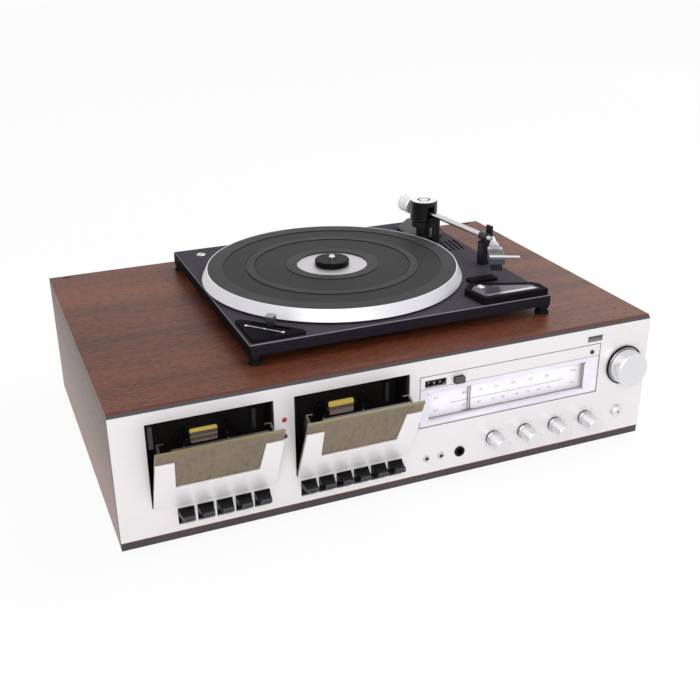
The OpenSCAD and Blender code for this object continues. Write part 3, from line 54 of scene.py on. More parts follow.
class Look:
    """A material under construction: a Principled shader and the nodes that feed it."""

    def __init__(self, name, colour, rough, **sockets):
        self.material = bpy.data.materials.new(name)
        self.material.use_nodes = True
        self.tree = self.material.node_tree
        self.shader = self.tree.nodes["Principled BSDF"]
        self.set("Base Color", colour)
        self.set("Roughness", rough)
        for socket, value in sockets.items():
            self.set(socket.replace("_", " "), value)
        self.coords = None

    def set(self, socket, value):
        self.shader.inputs[socket].default_value = value

    def node(self, kind, values=None, **settings):
        made = self.tree.nodes.new(kind)
        for name, value in settings.items():
            setattr(made, name, value)
        for key, value in (values or {}).items():
            self.feed(value, made.inputs[key])
        return made

    def feed(self, value, socket):
        if isinstance(value, bpy.types.NodeSocket):
            self.tree.links.new(value, socket)
        else:
            socket.default_value = value

    def place(self):
        """Coordinates in the part's own frame, in metres."""
        if self.coords is None:
            self.coords = self.node("ShaderNodeTexCoord").outputs["Object"]
        return self.coords

    def noise(self, scale, stretch=(1, 1, 1), detail=4.0, rough=0.55, warp=0.0):
        mapping = self.node("ShaderNodeMapping", {"Vector": self.place(), "Scale": stretch})
        made = self.node("ShaderNodeTexNoise", {"Vector": mapping.outputs["Vector"], "Scale": scale,
                                                "Detail": detail, "Roughness": rough, "Distortion": warp})
        return made.outputs["Fac"]

    def math(self, operation, first, second=0.0):
        return self.node("ShaderNodeMath", {0: first, 1: second}, operation=operation).outputs[0]

    def axis(self, name):
        return self.node("ShaderNodeSeparateXYZ", {0: self.place()}).outputs[name]

    def between(self, value, low, high):
        """0 under low, 1 over high, even in between."""
        made = self.node("ShaderNodeMapRange", {"Value": value, "From Min": low, "From Max": high})
        return made.outputs["Result"]

    def past(self, name, limit, soft=0.1 * MM):
        """1 where a coordinate is over the limit, 0 under it."""
        return self.between(self.axis(name), limit - soft, limit + soft)

    def short_of(self, name, limit):
        """1 where a coordinate is under the limit, 0 over it."""
        return self.other(self.past(name, limit))

    def below(self, value, limit, soft=0.2 * MM):
        """1 up to the limit, 0 from a little over it."""
        return self.between(value, limit + soft, limit)

    def band(self, value, low, high, soft=0.2 * MM):
        """1 from low to high, 0 from a little outside them."""
        return self.both(self.between(value, low - soft, low), self.below(value, high, soft))

    def both(self, *shares):
        total = shares[0]
        for share in shares[1:]:
            total = self.math("MULTIPLY", total, share)
        return total

    def other(self, share):
        return self.math("SUBTRACT", 1.0, share)

    def ramp(self, share, stops):
        made = self.node("ShaderNodeValToRGB", {"Fac": share})
        elements = made.color_ramp.elements
        while len(elements) < len(stops):
            elements.new(0.5)
        for element, (place, colour) in zip(elements, stops):
            element.position = place
            element.color = colour
        return made.outputs["Color"]

    def mix(self, share, first, second, blend="MIX"):
        made = self.node("ShaderNodeMix", data_type="RGBA", blend_type=blend)
        self.feed(share, made.inputs["Factor"])
        self.feed(first, made.inputs[6])
        self.feed(second, made.inputs[7])
        return made.outputs[2]

    def colour(self, value):
        self.feed(value, self.shader.inputs["Base Color"])

    def paint(self, share, colour):
        """Put another colour over the present one where share is 1."""
        socket = self.shader.inputs["Base Color"]
        below = socket.links[0].from_socket if socket.links else tuple(socket.default_value)
        self.colour(self.mix(share, below, colour))

    def rough(self, share, low, high):
        made = self.node("ShaderNodeMapRange", {"Value": share, "To Min": low, "To Max": high})
        self.feed(made.outputs["Result"], self.shader.inputs["Roughness"])

    def bump(self, height, depth, strength=1.0):
        made = self.node("ShaderNodeBump", {"Height": height, "Distance": depth, "Strength": strength})
        self.feed(made.outputs["Normal"], self.shader.inputs["Normal"])

    def along(self, place, direction):
        """Distance from a place, along a direction."""
        off = self.node("ShaderNodeVectorMath", {0: self.place(), 1: place}, operation="SUBTRACT").outputs[0]
        made = self.node("ShaderNodeVectorMath", {0: off, 1: direction}, operation="DOT_PRODUCT")
        return made.outputs["Value"]

    def glow(self, colour, strength):
        self.set("Emission Color", colour)
        self.set("Emission Strength", strength)

    def dim(self, share):
        """Put the glow out where share is 1."""
        socket = self.shader.inputs["Emission Strength"]
        below = socket.links[0].from_socket if socket.links else socket.default_value
        self.feed(self.math("MULTIPLY", self.other(share), below), socket)

    def radius(self, centre, axes="XY"):
        """Distance from an axis through centre, square to the two axes named."""
        parts = []
        for name in axes:
            off = self.math("SUBTRACT", self.axis(name), centre["XYZ".index(name)])
            parts.append(self.math("MULTIPLY", off, off))
        return self.math("SQRT", self.math("ADD", parts[0], parts[1]))

    def rings(self, out, per_metre):
        """Fine uneven rings that follow a distance."""
        values = {"W": self.math("MULTIPLY", out, per_metre), "Scale": 1.0, "Detail": 2.0}
        return self.node("ShaderNodeTexNoise", values, noise_dimensions="1D").outputs["Fac"]


def dress(look, *names):
    for name in names:
        slots = nodes[name].data.materials
        slots.clear()
        slots.append(look.material)


def middle(node):
    low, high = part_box(node)
    return (low + high) / 2


def soften(width, *names):
    """Round the sharp edges of CAD nodes a little, so that they catch the light."""
    for name in names:
        join = nodes[name].modifiers.new("join", "WELD")
        join.merge_threshold = 1e-6
        flat = nodes[name].modifiers.new("flat_faces", "DECIMATE")
        flat.decimate_type = "DISSOLVE"
        flat.angle_limit = math.radians(0.5)
        round_edges(nodes[name], width)


def round_edges(piece, width):
    soft = piece.modifiers.new("soft_edges", "BEVEL")
    soft.width = width
    soft.segments = 2
    soft.limit_method = "ANGLE"
    soft.angle_limit = math.radians(40)
    soft.harden_normals = True


# Where things are. Plain sizes are in millimetres, and MM turns them into metres.
panel_low, panel_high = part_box("front_panel")
front_y = panel_low.y
panel_z = panel_low.z
top_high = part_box("cabinet_top")[1]
SMALL_KNOBS = ("function_knob", "tone_knob", "balance_knob", "volume_knob")
KEYS = sorted(name for name in nodes if name.endswith("_key"))
# Middles of the two cassette decks, and the back of their wells behind the front panel's face
DECK_X = (-194.75, -56.25)
WELL_BACK = 32
# Lower end of the lit field on each deck's lamp plate, above the front panel's lower edge
LAMP_LIMITS = (82.0, 80.0)
# The record player's chassis top, above the front panel's lower edge
CHASSIS_UP = 152
# The lid hinges, to each side of the part's middle
HINGE_X = 266
# The outer faces of the rear panel and of its terminals, behind the front panel's face
REAR_BACK = 360
TERMINAL_BACK = 365


def at(x, back, up):
    """A place given in mm: across, behind the front panel's face, above the panel's lower edge."""
    return Vector((x * MM, front_y + back * MM, panel_z + up * MM))


# Materials
def walnut(name, grain_axis, tint):
    """Veneer with its grain along one axis, from a dark, a middle and a pale tint."""
    dark, plain, pale = tint
    across, long_run, short_run, broad = 15.0, 1.0, 3.5, 0.4
    stretch, short = (tuple(run if axis == grain_axis else across for axis in "XYZ")
                      for run in (long_run, short_run))
    look = Look(name, plain, 0.4, Specular_IOR_Level=0.25)
    bands = look.noise(5, stretch, detail=6, rough=0.62, warp=0.5)
    pores = look.noise(42, short, detail=3, rough=0.7)
    fine = look.noise(120, short, detail=2, rough=0.6)
    flame = look.noise(1.6, tuple(part * broad for part in stretch), detail=3, rough=0.5, warp=1.0)
    base = look.ramp(bands, [(0.28, dark), (0.5, plain), (0.74, pale)])
    flamed = look.mix(look.between(flame, 0.42, 0.68), base, pale)
    white = (1, 1, 1, 1)
    pore_dark = (0.3, 0.26, 0.26, 1)
    fine_dark = (0.6, 0.6, 0.6, 1)
    pore_share, fine_share = 0.9, 0.5
    pore_lines = look.ramp(pores, [(0.37, pore_dark), (0.51, white)])
    streaked = look.mix(pore_share, flamed, pore_lines, "MULTIPLY")
    fine_lines = look.ramp(fine, [(0.3, fine_dark), (0.6, white)])
    look.colour(look.mix(fine_share, streaked, fine_lines, "MULTIPLY"))
    look.rough(pores, 0.5, 0.34)
    look.bump(pores, 0.12 * MM, 0.3)
    return look


def brushed(name, colour, rough, stretch, contrast=0.96, metallic=1.0):
    """Metal with fine lines along one direction."""
    look = Look(name, colour, rough, Metallic=metallic)
    lines = look.noise(1, stretch, detail=3, rough=0.6)
    cloud = look.noise(9, detail=2)
    look.colour(look.mix(look.between(lines, 0.3, 0.7), shade(colour, contrast), colour))
    look.rough(cloud, rough - 0.04, rough + 0.05)
    look.bump(lines, 0.02 * MM, 0.12)
    return look


ALONG_X = (5, 900, 900)
ALONG_Y = (700, 6, 700)


def moulded(name, colour, rough, grain=900, depth=0.03 * MM, **sockets):
    """Plastic with a fine grain and a faint uneven tone."""
    look = Look(name, colour, rough, **sockets)
    fine = look.noise(grain, detail=2)
    broad = look.noise(22, detail=3)
    look.colour(look.mix(look.between(broad, 0.35, 0.7), colour, shade(colour, 1.18)))
    look.rough(broad, rough - 0.05, rough + 0.07)
    look.bump(fine, depth, 0.5)
    return look


def plastic(name, colour, rough, grain=900, depth=0.03 * MM):
    """Dark moulded plastic with a low sheen."""
    return moulded(name, colour, rough, grain, depth, Specular_IOR_Level=0.22)


def turned(name, colour, rough, centre, axes, **sockets):
    """Metal with the fine rings of a lathe round an axis."""
    look = Look(name, colour, rough, Metallic=1.0, **sockets)
    contrast = 0.88
    rings = look.rings(look.radius(centre, axes), per_metre=2200.0)
    look.colour(look.mix(rings, shade(colour, contrast), colour))
    look.rough(rings, rough - 0.04, rough + 0.07)
    look.bump(rings, 0.02 * MM, 0.2)
    return look


def cabinet_looks():
    top = walnut("walnut_top", "X", (linear(55, 24, 14), linear(93, 45, 27), linear(122, 66, 43)))
    notch_half, notch_deep, notch_soft, skin = 4.3 * MM, 7.3 * MM, 0.1 * MM, 0.3 * MM
    from_middle = top.math("ABSOLUTE", top.axis("X"))
    across = top.math("ABSOLUTE", top.math("SUBTRACT", from_middle, HINGE_X * MM))
    notch = top.both(top.past("Y", top_high.y - notch_deep), top.below(across, notch_half, notch_soft),
                     top.short_of("Z", top_high.z - skin))
    top.paint(notch, linear(112, 60, 42))
    dress(top, "cabinet_top")
    side = walnut("walnut_side", "Y", (linear(54, 36, 30), linear(80, 56, 48), linear(98, 74, 66)))
    # Painted light: the sides are painted lighter towards the bottom, standing in for the floor's sheen on
    # them.
    painted_floor_sheen = side.between(side.axis("Z"), top_high.z, panel_z)
    floor_sheen_share = 0.74
    side.paint(side.math("MULTIPLY", painted_floor_sheen, floor_sheen_share), linear(178, 145, 138))
    dress(side, "cabinet_sides")
    dress(walnut("back_board", "X", (linear(70, 52, 38), linear(98, 76, 58), linear(112, 90, 70))),
          "base_panel", "rear_panel")
    trim = plastic("trim_grey", linear(72, 67, 72), 0.42)
    grey_height = 2.4 * MM
    trim.paint(trim.past("Z", panel_high.z + grey_height), linear(92, 52, 38))
    dress(trim, "front_frame")
    sheet = ("front_panel", "left_door_plate", "right_door_plate")
    dress(brushed("panel_silver", (0.855, 0.825, 0.84, 1), 0.36, ALONG_X, 0.975, metallic=0.25), *sheet)
    dress(plastic("foot_rubber", linear(20, 20, 21), 0.3, 500), "rubber_feet")
    dress(plastic("belt_rubber", linear(28, 28, 28), 0.7, 500), "drive_belt")


def front_looks():
    dress(plastic("black_plastic", linear(24, 23, 25), 0.35), "rear_terminals")
    # The button is painted near black as painted shade on its sides and back; only its front 2 mm keeps the
    # button's grey.
    button = plastic("button_painted_shade", linear(10, 10, 11), 0.4)
    button_cap = 2 * MM
    cap_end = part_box("counter_reset_button")[0].y + button_cap
    button.paint(button.short_of("Y", cap_end), linear(88, 82, 84))
    dress(button, "counter_reset_button")
    dress(plastic("pointer_black", linear(60, 54, 60), 0.4), "dial_pointer")
    dress(plastic("well_black", linear(20, 18, 17), 0.55), "cassette_wells")
    dress(plastic("wheel_black", linear(16, 16, 17), 0.5), "counter_wheels")
    hubs = [name for name in nodes if name.endswith("_hub")]
    dress(plastic("hub_black", linear(22, 21, 24), 0.3), *hubs)
    keys = plastic("key_black", linear(8, 8, 9), 0.24)
    key_reach = 12.2 * MM
    keys.paint(keys.short_of("Y", front_y - key_reach), linear(58, 57, 60))
    dress(keys, *KEYS)
    bezel = moulded("dial_frame", linear(229, 227, 238), 0.35)
    bezel_face, lower_wall_up, right_wall_x = 0.65 * MM, 60 * MM, 215 * MM
    # Painted shade and light on the recess walls: all grey as painted shade, the lower wall lighter as
    # painted light from above, the right wall darker as painted shade.
    wall = bezel.past("Y", front_y + bezel_face)
    bezel.paint(wall, linear(158, 154, 160))
    bezel.paint(bezel.both(wall, bezel.short_of("Z", panel_z + lower_wall_up)), linear(225, 222, 230))
    bezel.paint(bezel.both(wall, bezel.past("X", right_wall_x)), linear(118, 112, 116))
    dress(bezel, "dial_bezel")
    scale = moulded("dial_white", linear(248, 244, 252), 0.6, 300, 0.004 * MM)
    # A faint glow lifts the scale's white as painted light.
    scale.glow(linear(250, 244, 252), 0.16)
    dress(scale, "dial_scale")
    dress(moulded("dial_sheet", (0.94, 0.95, 0.98, 1), 0.08, 60, 0.01 * MM, Alpha=0.1), "dial_window")
    sockets = turned("socket_metal", (0.62, 0.6, 0.58, 1), 0.3, middle("front_jacks"), "XZ")
    large_socket_left = 52 * MM
    sockets.paint(sockets.past("X", large_socket_left), linear(40, 36, 38))
    dress(sockets, "front_jacks")
    lamp_yellow = linear(232, 202, 104)
    lamps = moulded("lamp_yellow", lamp_yellow, 0.35)
    lamps.glow(lamp_yellow, 0.25)
    right_deck = lamps.past("X", sum(DECK_X) / 2 * MM)
    for limit, deck in zip(LAMP_LIMITS, (lamps.other(right_deck), right_deck)):
        unlit = lamps.both(deck, lamps.short_of("Z", panel_z + limit * MM))
        lamps.paint(unlit, linear(196, 174, 168))
        lamps.dim(unlit)
    dress(lamps, "lamp_plates")
    lens = moulded("lens_red", linear(66, 22, 24), 0.15, 300)
    lit_above = 85 * MM
    lit = lens.both(lens.short_of("X", 0.0), lens.past("Z", panel_z + lit_above))
    lens.paint(lit, linear(186, 26, 42))
    dress(lens, "indicator_leds")
    smoked = moulded("smoked_door", linear(151, 132, 105), 0.22, 80, 0.01 * MM, Transmission_Weight=0.5,
                     IOR=1.45)
    streaks = smoked.between(smoked.noise(1, (260, 260, 6), detail=3), 0.45, 0.75)
    streak_share = 0.75
    smoked.paint(smoked.math("MULTIPLY", streaks, streak_share), linear(120, 104, 84))
    # The top rim is painted a lighter tan as a painted sheen along the doors' top edges.
    sheen_rim_up, sheen_rim_soft = 100.5 * MM, 0.6 * MM
    smoked.paint(smoked.past("Z", panel_z + sheen_rim_up, sheen_rim_soft), linear(166, 150, 104))
    hinge = at(0, 5.3, 31)
    lean = math.radians(25)
    behind = smoked.along(hinge, (0.0, math.cos(lean), math.sin(lean)))
    bracket_front, bracket_soft = -4.0 * MM, 0.2 * MM
    brackets = smoked.between(behind, bracket_front - bracket_soft, bracket_front)
    smoked.paint(brackets, linear(34, 29, 22))
    dress(smoked, "left_door_pocket", "right_door_pocket")
    dress(brushed("plain_steel", (0.6, 0.6, 0.6, 1), 0.35, ALONG_X), "left_head_bridge", "right_head_bridge",
          "drive_motor")


def knob_looks():
    # Depth and inner radius of the dark ring at each knob's foot
    small_ring = (1.85, 7.9)
    rings = {"tuning_knob": (2.45, 19.9), "power_button": (4.2, 7.4)}
    wide_soft, deep_soft = 0.1 * MM, 0.05 * MM
    dot, dot_soft = 1.1 * MM, 0.4 * MM
    for name in SMALL_KNOBS + ("power_button", "tuning_knob"):
        centre = middle(name)
        look = turned("metal_" + name, (0.82, 0.82, 0.84, 1), 0.17, centre, "XZ", Anisotropic=0.5)
        around = look.node("ShaderNodeTangent", direction_type="RADIAL", axis="Y").outputs["Tangent"]
        look.feed(around, look.shader.inputs["Tangent"])
        deep, wide = (size * MM for size in rings.get(name, small_ring))
        from_axis = look.radius(centre, "XZ")
        rim = look.between(from_axis, wide - wide_soft, wide + wide_soft)
        look.paint(look.both(rim, look.past("Y", front_y - deep, deep_soft)), linear(26, 24, 27))
        if name == "power_button":
            look.paint(look.below(from_axis, dot, dot_soft), linear(96, 94, 98))
        dress(look, name)


def turntable_looks():
    axle = middle("center_spindle")
    chassis = moulded("chassis_black", linear(24, 22, 26), 0.4, 700, 0.04 * MM, Specular_IOR_Level=0.005)
    lit_front_skin, highlight_low, highlight_high = 0.3 * MM, 0.8 * MM, 0.05 * MM
    # The front wall is painted lighter than the top, as painted light on that face.
    chassis.paint(chassis.short_of("Y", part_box("chassis")[0].y + lit_front_skin), linear(40, 37, 43))
    deck_z = panel_z + CHASSIS_UP * MM
    # A painted highlight along the chassis's front top edge.
    painted_edge_highlight = chassis.both(chassis.past("Z", deck_z - highlight_low), chassis.short_of("Z", deck_z - highlight_high))
    chassis.paint(painted_edge_highlight, linear(132, 126, 137))
    dress(chassis, "chassis")
    metal = Look("platter_metal", (0.72, 0.71, 0.74, 1), 0.52, Metallic=1.0)
    lathe_lines = metal.noise(1, (4, 4, 1600), detail=2)
    metal.colour(metal.mix(lathe_lines, (0.68, 0.67, 0.7, 1), (0.76, 0.75, 0.78, 1)))
    disc_radius = 46 * MM
    metal.paint(metal.below(metal.radius(axle), disc_radius), (0.55, 0.53, 0.55, 1))
    metal.rough(metal.noise(12, detail=2), 0.46, 0.56)
    metal.bump(lathe_lines, 0.004 * MM, 0.2)
    dress(metal, "platter")
    dress(turned("spindle_steel", (0.75, 0.75, 0.76, 1), 0.2, axle, "XY"), "center_spindle")
    adaptor = moulded("adaptor_black", linear(12, 11, 13), 0.36, Specular_IOR_Level=0.06)
    dress(adaptor, "record_adaptor")
    mat = Look("mat_rubber", linear(40, 39, 41), 0.5, Specular_IOR_Level=0.14)
    out = mat.radius(axle)
    grooves = mat.rings(out, per_metre=900.0)
    dust = mat.noise(14, detail=3)
    grey = mat.mix(grooves, linear(38, 37, 39), linear(52, 51, 53))
    mat.colour(mat.mix(mat.between(dust, 0.4, 0.75), grey, linear(58, 57, 59)))
    mat_radius = 136.7 * MM
    field_share = 0.75
    for inner, outer in ((0.374, 0.625), (0.7, 0.88)):
        field = mat.band(out, inner * mat_radius, outer * mat_radius)
        mat.paint(mat.math("MULTIPLY", field, field_share), linear(20, 19, 21))
    mat.rough(grooves, 0.42, 0.58)
    mat.bump(grooves, 0.06 * MM, 0.5)
    dress(mat, "platter_mat")
    dress(turned("pulley_brass", (0.7, 0.52, 0.22, 1), 0.3, middle("motor_pulley"), "XY"), "motor_pulley")
    lever = plastic("lever_black", linear(36, 35, 37), 0.34)
    lever_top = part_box("speed_lever")[1].z
    grip, top_highlight = 5.8 * MM, 0.7 * MM
    lever.paint(lever.past("Z", lever_top - grip), linear(58, 56, 59))
    # A painted highlight along the lever's top edge.
    lever.paint(lever.past("Z", lever_top - top_highlight), linear(150, 147, 150))
    dress(lever, "speed_lever")


def arm_looks():
    yoke = middle("arm_yoke")
    dress(plastic("arm_black", linear(22, 22, 24), 0.34), "arm_pedestal")
    drum = plastic("drum_black", linear(22, 22, 24), 0.3)
    top_skin, groove_soft = 0.3 * MM, 0.1 * MM
    groove_in, groove_out = 5.8 * MM, 7.9 * MM
    drum.paint(drum.past("Z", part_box("arm_yoke")[1].z - top_skin), linear(236, 236, 240))
    drum.paint(drum.band(drum.radius(yoke), groove_in, groove_out, groove_soft), linear(20, 18, 22))
    dress(drum, "arm_yoke")
    pickup = plastic("pickup_black", linear(24, 24, 27), 0.3)
    carrier = 6 * MM
    pickup.paint(pickup.past("Z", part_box("cartridge")[1].z - carrier), linear(72, 74, 88))
    dress(pickup, "cartridge")
    arm = brushed("arm_chrome", (0.66, 0.64, 0.65, 1), 0.14, ALONG_Y)
    sleeve_front, sleeve_back, collar = 155 * MM, 168 * MM, 15.4 * MM
    sleeve = arm.both(arm.past("Y", front_y + sleeve_front), arm.short_of("Y", front_y + sleeve_back))
    dark = arm.math("MAXIMUM", sleeve, arm.below(arm.radius(yoke), collar))
    arm.paint(dark, linear(24, 24, 26))
    arm.feed(arm.other(dark), arm.shader.inputs["Metallic"])
    dress(arm, "arm_tube")
    dress(brushed("weight_metal", (0.92, 0.91, 0.93, 1), 0.36, ALONG_Y, metallic=0.6), "counterweight")
    head = moulded("head_grey", linear(100, 96, 100), 0.36)
    heading = math.radians(-25.7)
    ahead = head.along(at(165.87, 127.29, 0), (math.sin(heading), -math.cos(heading), 0.0))
    neck, window, strip = 14.4 * MM, (20.1 * MM, 26.2 * MM), 38.5 * MM
    strip_soft, strip_up = 0.1 * MM, 185.3 * MM
    head.paint(head.below(ahead, neck), linear(186, 184, 190))
    head.paint(head.band(ahead, *window), linear(36, 35, 35))
    lip = head.between(ahead, strip - strip_soft, strip)
    head.paint(head.both(lip, head.past("Z", panel_z + strip_up)), linear(240, 238, 242))
    dress(head, "headshell")


cabinet_looks()
front_looks()
knob_looks()
turntable_looks()
arm_looks()
soften(0.6 * MM, "cabinet_top", "cabinet_sides", "speed_lever")
soften(0.3 * MM, "left_door_plate", "right_door_plate", "cartridge", "counter_reset_button", "front_frame")


# Pieces that carry the fine detail
INK = 0.06 * MM
FACING = Matrix.Rotation(math.radians(90), 4, "X")


def finish_piece(name, bm, look, body="cabinet", smooth=False, bevel=0.0):
    mesh = bpy.data.meshes.new(name)
    bm.to_mesh(mesh)
    bm.free()
    made = bpy.data.objects.new(name, mesh)
    bpy.context.scene.collection.objects.link(made)
    mesh.materials.append(look.material)
    for face in mesh.polygons:
        face.use_smooth = smooth
    if bevel:
        round_edges(made, bevel)
    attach(made, body)


def add_box(bm, low, high, turn=None):
    centre = (low + high) / 2
    size = high - low
    matrix = Matrix.Translation(centre) @ (turn or Matrix()) @ Matrix.Diagonal((*size, 1))
    bmesh.ops.create_cube(bm, size=1, matrix=matrix)


def add_strip(bm, x0, x1, up0, up1, back=0.0):
    """A thin printed bar on a face that looks at the viewer."""
    add_box(bm, at(x0, back, up0) - Vector((0, INK, 0)), at(x1, back, up1))


def add_lathe(bm, profile, matrix, steps=28):
    """A closed turned solid from (radius, height) points in mm that start and end on the axis."""
    rings = []
    for radius, height in profile:
        if radius == 0:
            rings.append([bm.verts.new(matrix @ Vector((0, 0, height * MM)))])
            continue
        turn = [2 * math.pi * i / steps for i in range(steps)]
        ring = [Vector((radius * math.cos(a), radius * math.sin(a), height)) * MM for a in turn]
        rings.append([bm.verts.new(matrix @ point) for point in ring])
    for first, second in zip(rings, rings[1:]):
        for i in range(steps):
            following = (i + 1) % steps
            if len(first) == 1:
                bm.faces.new((first[0], second[i], second[following]))
            elif len(second) == 1:
                bm.faces.new((first[i], first[following], second[0]))
            else:
                bm.faces.new((first[i], first[following], second[following], second[i]))
    bmesh.ops.recalc_face_normals(bm, faces=bm.faces)


def close_ends(bm, first, second):
    """A solid between two rows of points with the same count."""
    first = [bm.verts.new(point) for point in first]
    second = [bm.verts.new(point) for point in second]
    bm.faces.new(first)
    bm.faces.new(second)
    for i in range(len(first)):
        following = (i + 1) % len(first)
        bm.faces.new((first[i], first[following], second[following], second[i]))
    bmesh.ops.recalc_face_normals(bm, faces=bm.faces)


def add_prism(bm, outline, low, high):
    """An upright solid over an outline of (across, behind) points in mm."""
    close_ends(bm, [at(x, back, low) for x, back in outline], [at(x, back, high) for x, back in outline])


def add_bar(bm, outline, left, right):
    """A solid across the part over an outline of (behind, up) points in mm."""
    first, second = ([at(x, back, up) for back, up in outline] for x in (left, right))
    close_ends(bm, first, second)


def written(text, height):
    """The outline of some figures as a flat mesh, centred, facing up."""
    curve = bpy.data.curves.new("figures", "FONT")
    curve.body = text
    curve.size = height
    curve.align_x = "CENTER"
    curve.align_y = "CENTER"
    curve.extrude = INK / 2
    curve.resolution_u = 2
    holder = bpy.data.objects.new("figures", curve)
    mesh = bpy.data.meshes.new_from_object(holder)
    bpy.data.objects.remove(holder)
    bpy.data.curves.remove(curve)
    return mesh


def add_figures(bm, text, height, matrix):
    mesh = written(text, height)
    before = len(bm.verts)
    bm.from_mesh(mesh)
    bpy.data.meshes.remove(mesh)
    bm.verts.ensure_lookup_table()
    fresh = bm.verts[before:]
    bmesh.ops.transform(bm, matrix=matrix, verts=fresh)
    return fresh


def printed(name, colour):
    """Flat ink."""
    return moulded(name, colour, 0.55, 400, 0.01 * MM)


print_grey = printed("print_grey", linear(112, 104, 112))
print_dark = printed("print_dark", linear(70, 60, 64))
print_white = printed("print_white", linear(228, 228, 226))
bare_steel = brushed("bare_steel", (0.74, 0.74, 0.75, 1), 0.24, ALONG_X)


def dial_figures():
    scale_back = 11.0
    line_up, high_up, low_up = 69.0, 77.4, 63.4
    high_row = [("88", 69.5), ("92", 89.2), ("96", 107.3), ("100", 126.9), ("104", 147.1), ("108", 166.7)]
    low_row = [("53", 70), ("60", 87.6), ("70", 103.9), ("80", 116), ("100", 131.9), ("120", 145.2),
               ("140", 158.5), ("160", 171)]
    marks = [(high_row, high_up, 4.2), (low_row, low_up, 3.6),
             ([("FM", 37.8), ("MHz", 200.5)], high_up, 4.0), ([("AM", 38), ("kHz", 200.5)], low_up, 3.6)]
    bm = bmesh.new()
    for row, up, height in marks:
        for text, x in row:
            add_figures(bm, text, height * MM, Matrix.Translation(at(x, scale_back, up)) @ FACING)
    first, last, line = 54, 188, 0.5
    add_strip(bm, first, last, line_up, line_up + line, scale_back)
    ticks, long_every = 21, 5
    long_tick, short_tick, half_tick = 1.6, 0.9, 0.12
    foot = line_up + line
    for i in range(ticks):
        tick = short_tick if i % long_every else long_tick
        x = first + i * (last - first) / (ticks - 1)
        add_strip(bm, x - half_tick, x + half_tick, foot, foot + tick, scale_back)
    finish_piece("dial_figures", bm, print_grey)


def panel_lines():
    left, right = 14.5, 223.5
    low, middle_line, top = 53.5, 95.3, 108.8
    line, thin_line = 0.7, 0.4
    bm = bmesh.new()
    add_strip(bm, left - line, left, low - line, top + line)
    add_strip(bm, right, right + line, low - line, top + line)
    add_strip(bm, left - line, right + line, low - line, low)
    add_strip(bm, left - line, right + line, top, top + line)
    add_strip(bm, left, right, middle_line, middle_line + thin_line)
    ticks, first_turn, step = 7, -135, 45
    reach = 12.2 * MM
    half = Vector((0.2 * MM, INK, 0.8 * MM))
    for name in SMALL_KNOBS:
        knob = middle(name)
        for i in range(ticks):
            angle = math.radians(first_turn + step * i)
            away = Vector((math.sin(angle), 0, math.cos(angle)))
            place = Vector((knob.x, front_y, knob.z)) + reach * away
            add_box(bm, place - half, place + Vector((half.x, 0, half.z)), Matrix.Rotation(angle, 4, "Y"))
    finish_piece("panel_lines", bm, print_dark)


def counter_figures():
    centre = middle("counter_wheels")
    first, pitch = 25.6 * MM, 6.3 * MM
    radius, figure = 9.0 * MM, 4.6 * MM
    shown = (7, 0, 0)
    digits = 10
    settle = math.radians(-14)
    bm = bmesh.new()
    for wheel, number in enumerate(shown):
        x = first + pitch * wheel
        for digit in range(digits):
            fresh = add_figures(bm, str(digit), figure, Matrix.Identity(4))
            turn = math.tau / digits * (digit - number) + settle
            for vert in fresh:
                angle = vert.co.y / radius + turn
                out = radius + vert.co.z + INK / 2
                vert.co = Vector((x + vert.co.x, centre.y - out * math.cos(angle),
                                  centre.z + out * math.sin(angle)))
    finish_piece("counter_figures", bm, print_white, "counter_wheels")


def badge_plate():
    """A bare grey plate under a dark bar, over the dial field's right end."""
    left, right, low, high = 207.5, 225, 112.6, 118.6
    bar, bar_t, face_t = 2.0, 0.7, 0.5
    edge = 0.15 * MM
    bm = bmesh.new()
    add_box(bm, at(left, -bar_t, high - bar), at(right, 0, high))
    finish_piece("badge_bar", bm, print_dark, bevel=edge)
    bm = bmesh.new()
    add_box(bm, at(left, -face_t, low), at(right, 0, high - bar))
    grey = brushed("badge_grey", (0.2, 0.18, 0.185, 1), 0.4, ALONG_X, metallic=0.3)
    finish_piece("badge_face", bm, grey, bevel=edge)


def lower_line():
    """The copper-coloured lower edge of the front panel."""
    half_width, height, front, back = 284.9, 0.55, 0.02, 1.0
    copper = brushed("copper_edge", linear(196, 120, 88), 0.3, ALONG_X)
    bm = bmesh.new()
    add_box(bm, at(-half_width, front, -height), at(half_width, back, 0))
    finish_piece("lower_line", bm, copper)


def deck_leaves():
    """The upright leaves on the back wall of each cassette well; the left deck's left leaf is painted light
    grey as painted light, the others dark as painted shade.
    """
    left_leaf, right_leaf = (-53, 75, 98), (45.5, 76, 97)
    width, corner = 4.9, 0.7
    front, shoulder = WELL_BACK - 5.6, WELL_BACK - 5
    outline = [(0, WELL_BACK), (0, shoulder), (corner, front), (width - corner, front), (width, shoulder),
               (width, WELL_BACK)]
    lit = bmesh.new()
    dim = bmesh.new()
    for x in DECK_X:
        for leaf in (left_leaf, right_leaf):
            start, low, high = leaf
            bm = lit if x == DECK_X[0] and leaf is left_leaf else dim
            add_prism(bm, [(x + start + across, back) for across, back in outline], low, high)
    edge = 0.3 * MM
    # Lit and shaded copies of one leaf: painted light on one leaf, painted shade on the rest.
    leaf_painted_lit = moulded("leaf_painted_lit", linear(116, 110, 120), 0.4)
    finish_piece("leaf_lit", lit, leaf_painted_lit, bevel=edge)
    leaf_painted_shade = moulded("leaf_painted_shade", linear(46, 43, 48), 0.35)
    finish_piece("leaves_dim", dim, leaf_painted_shade, bevel=edge)


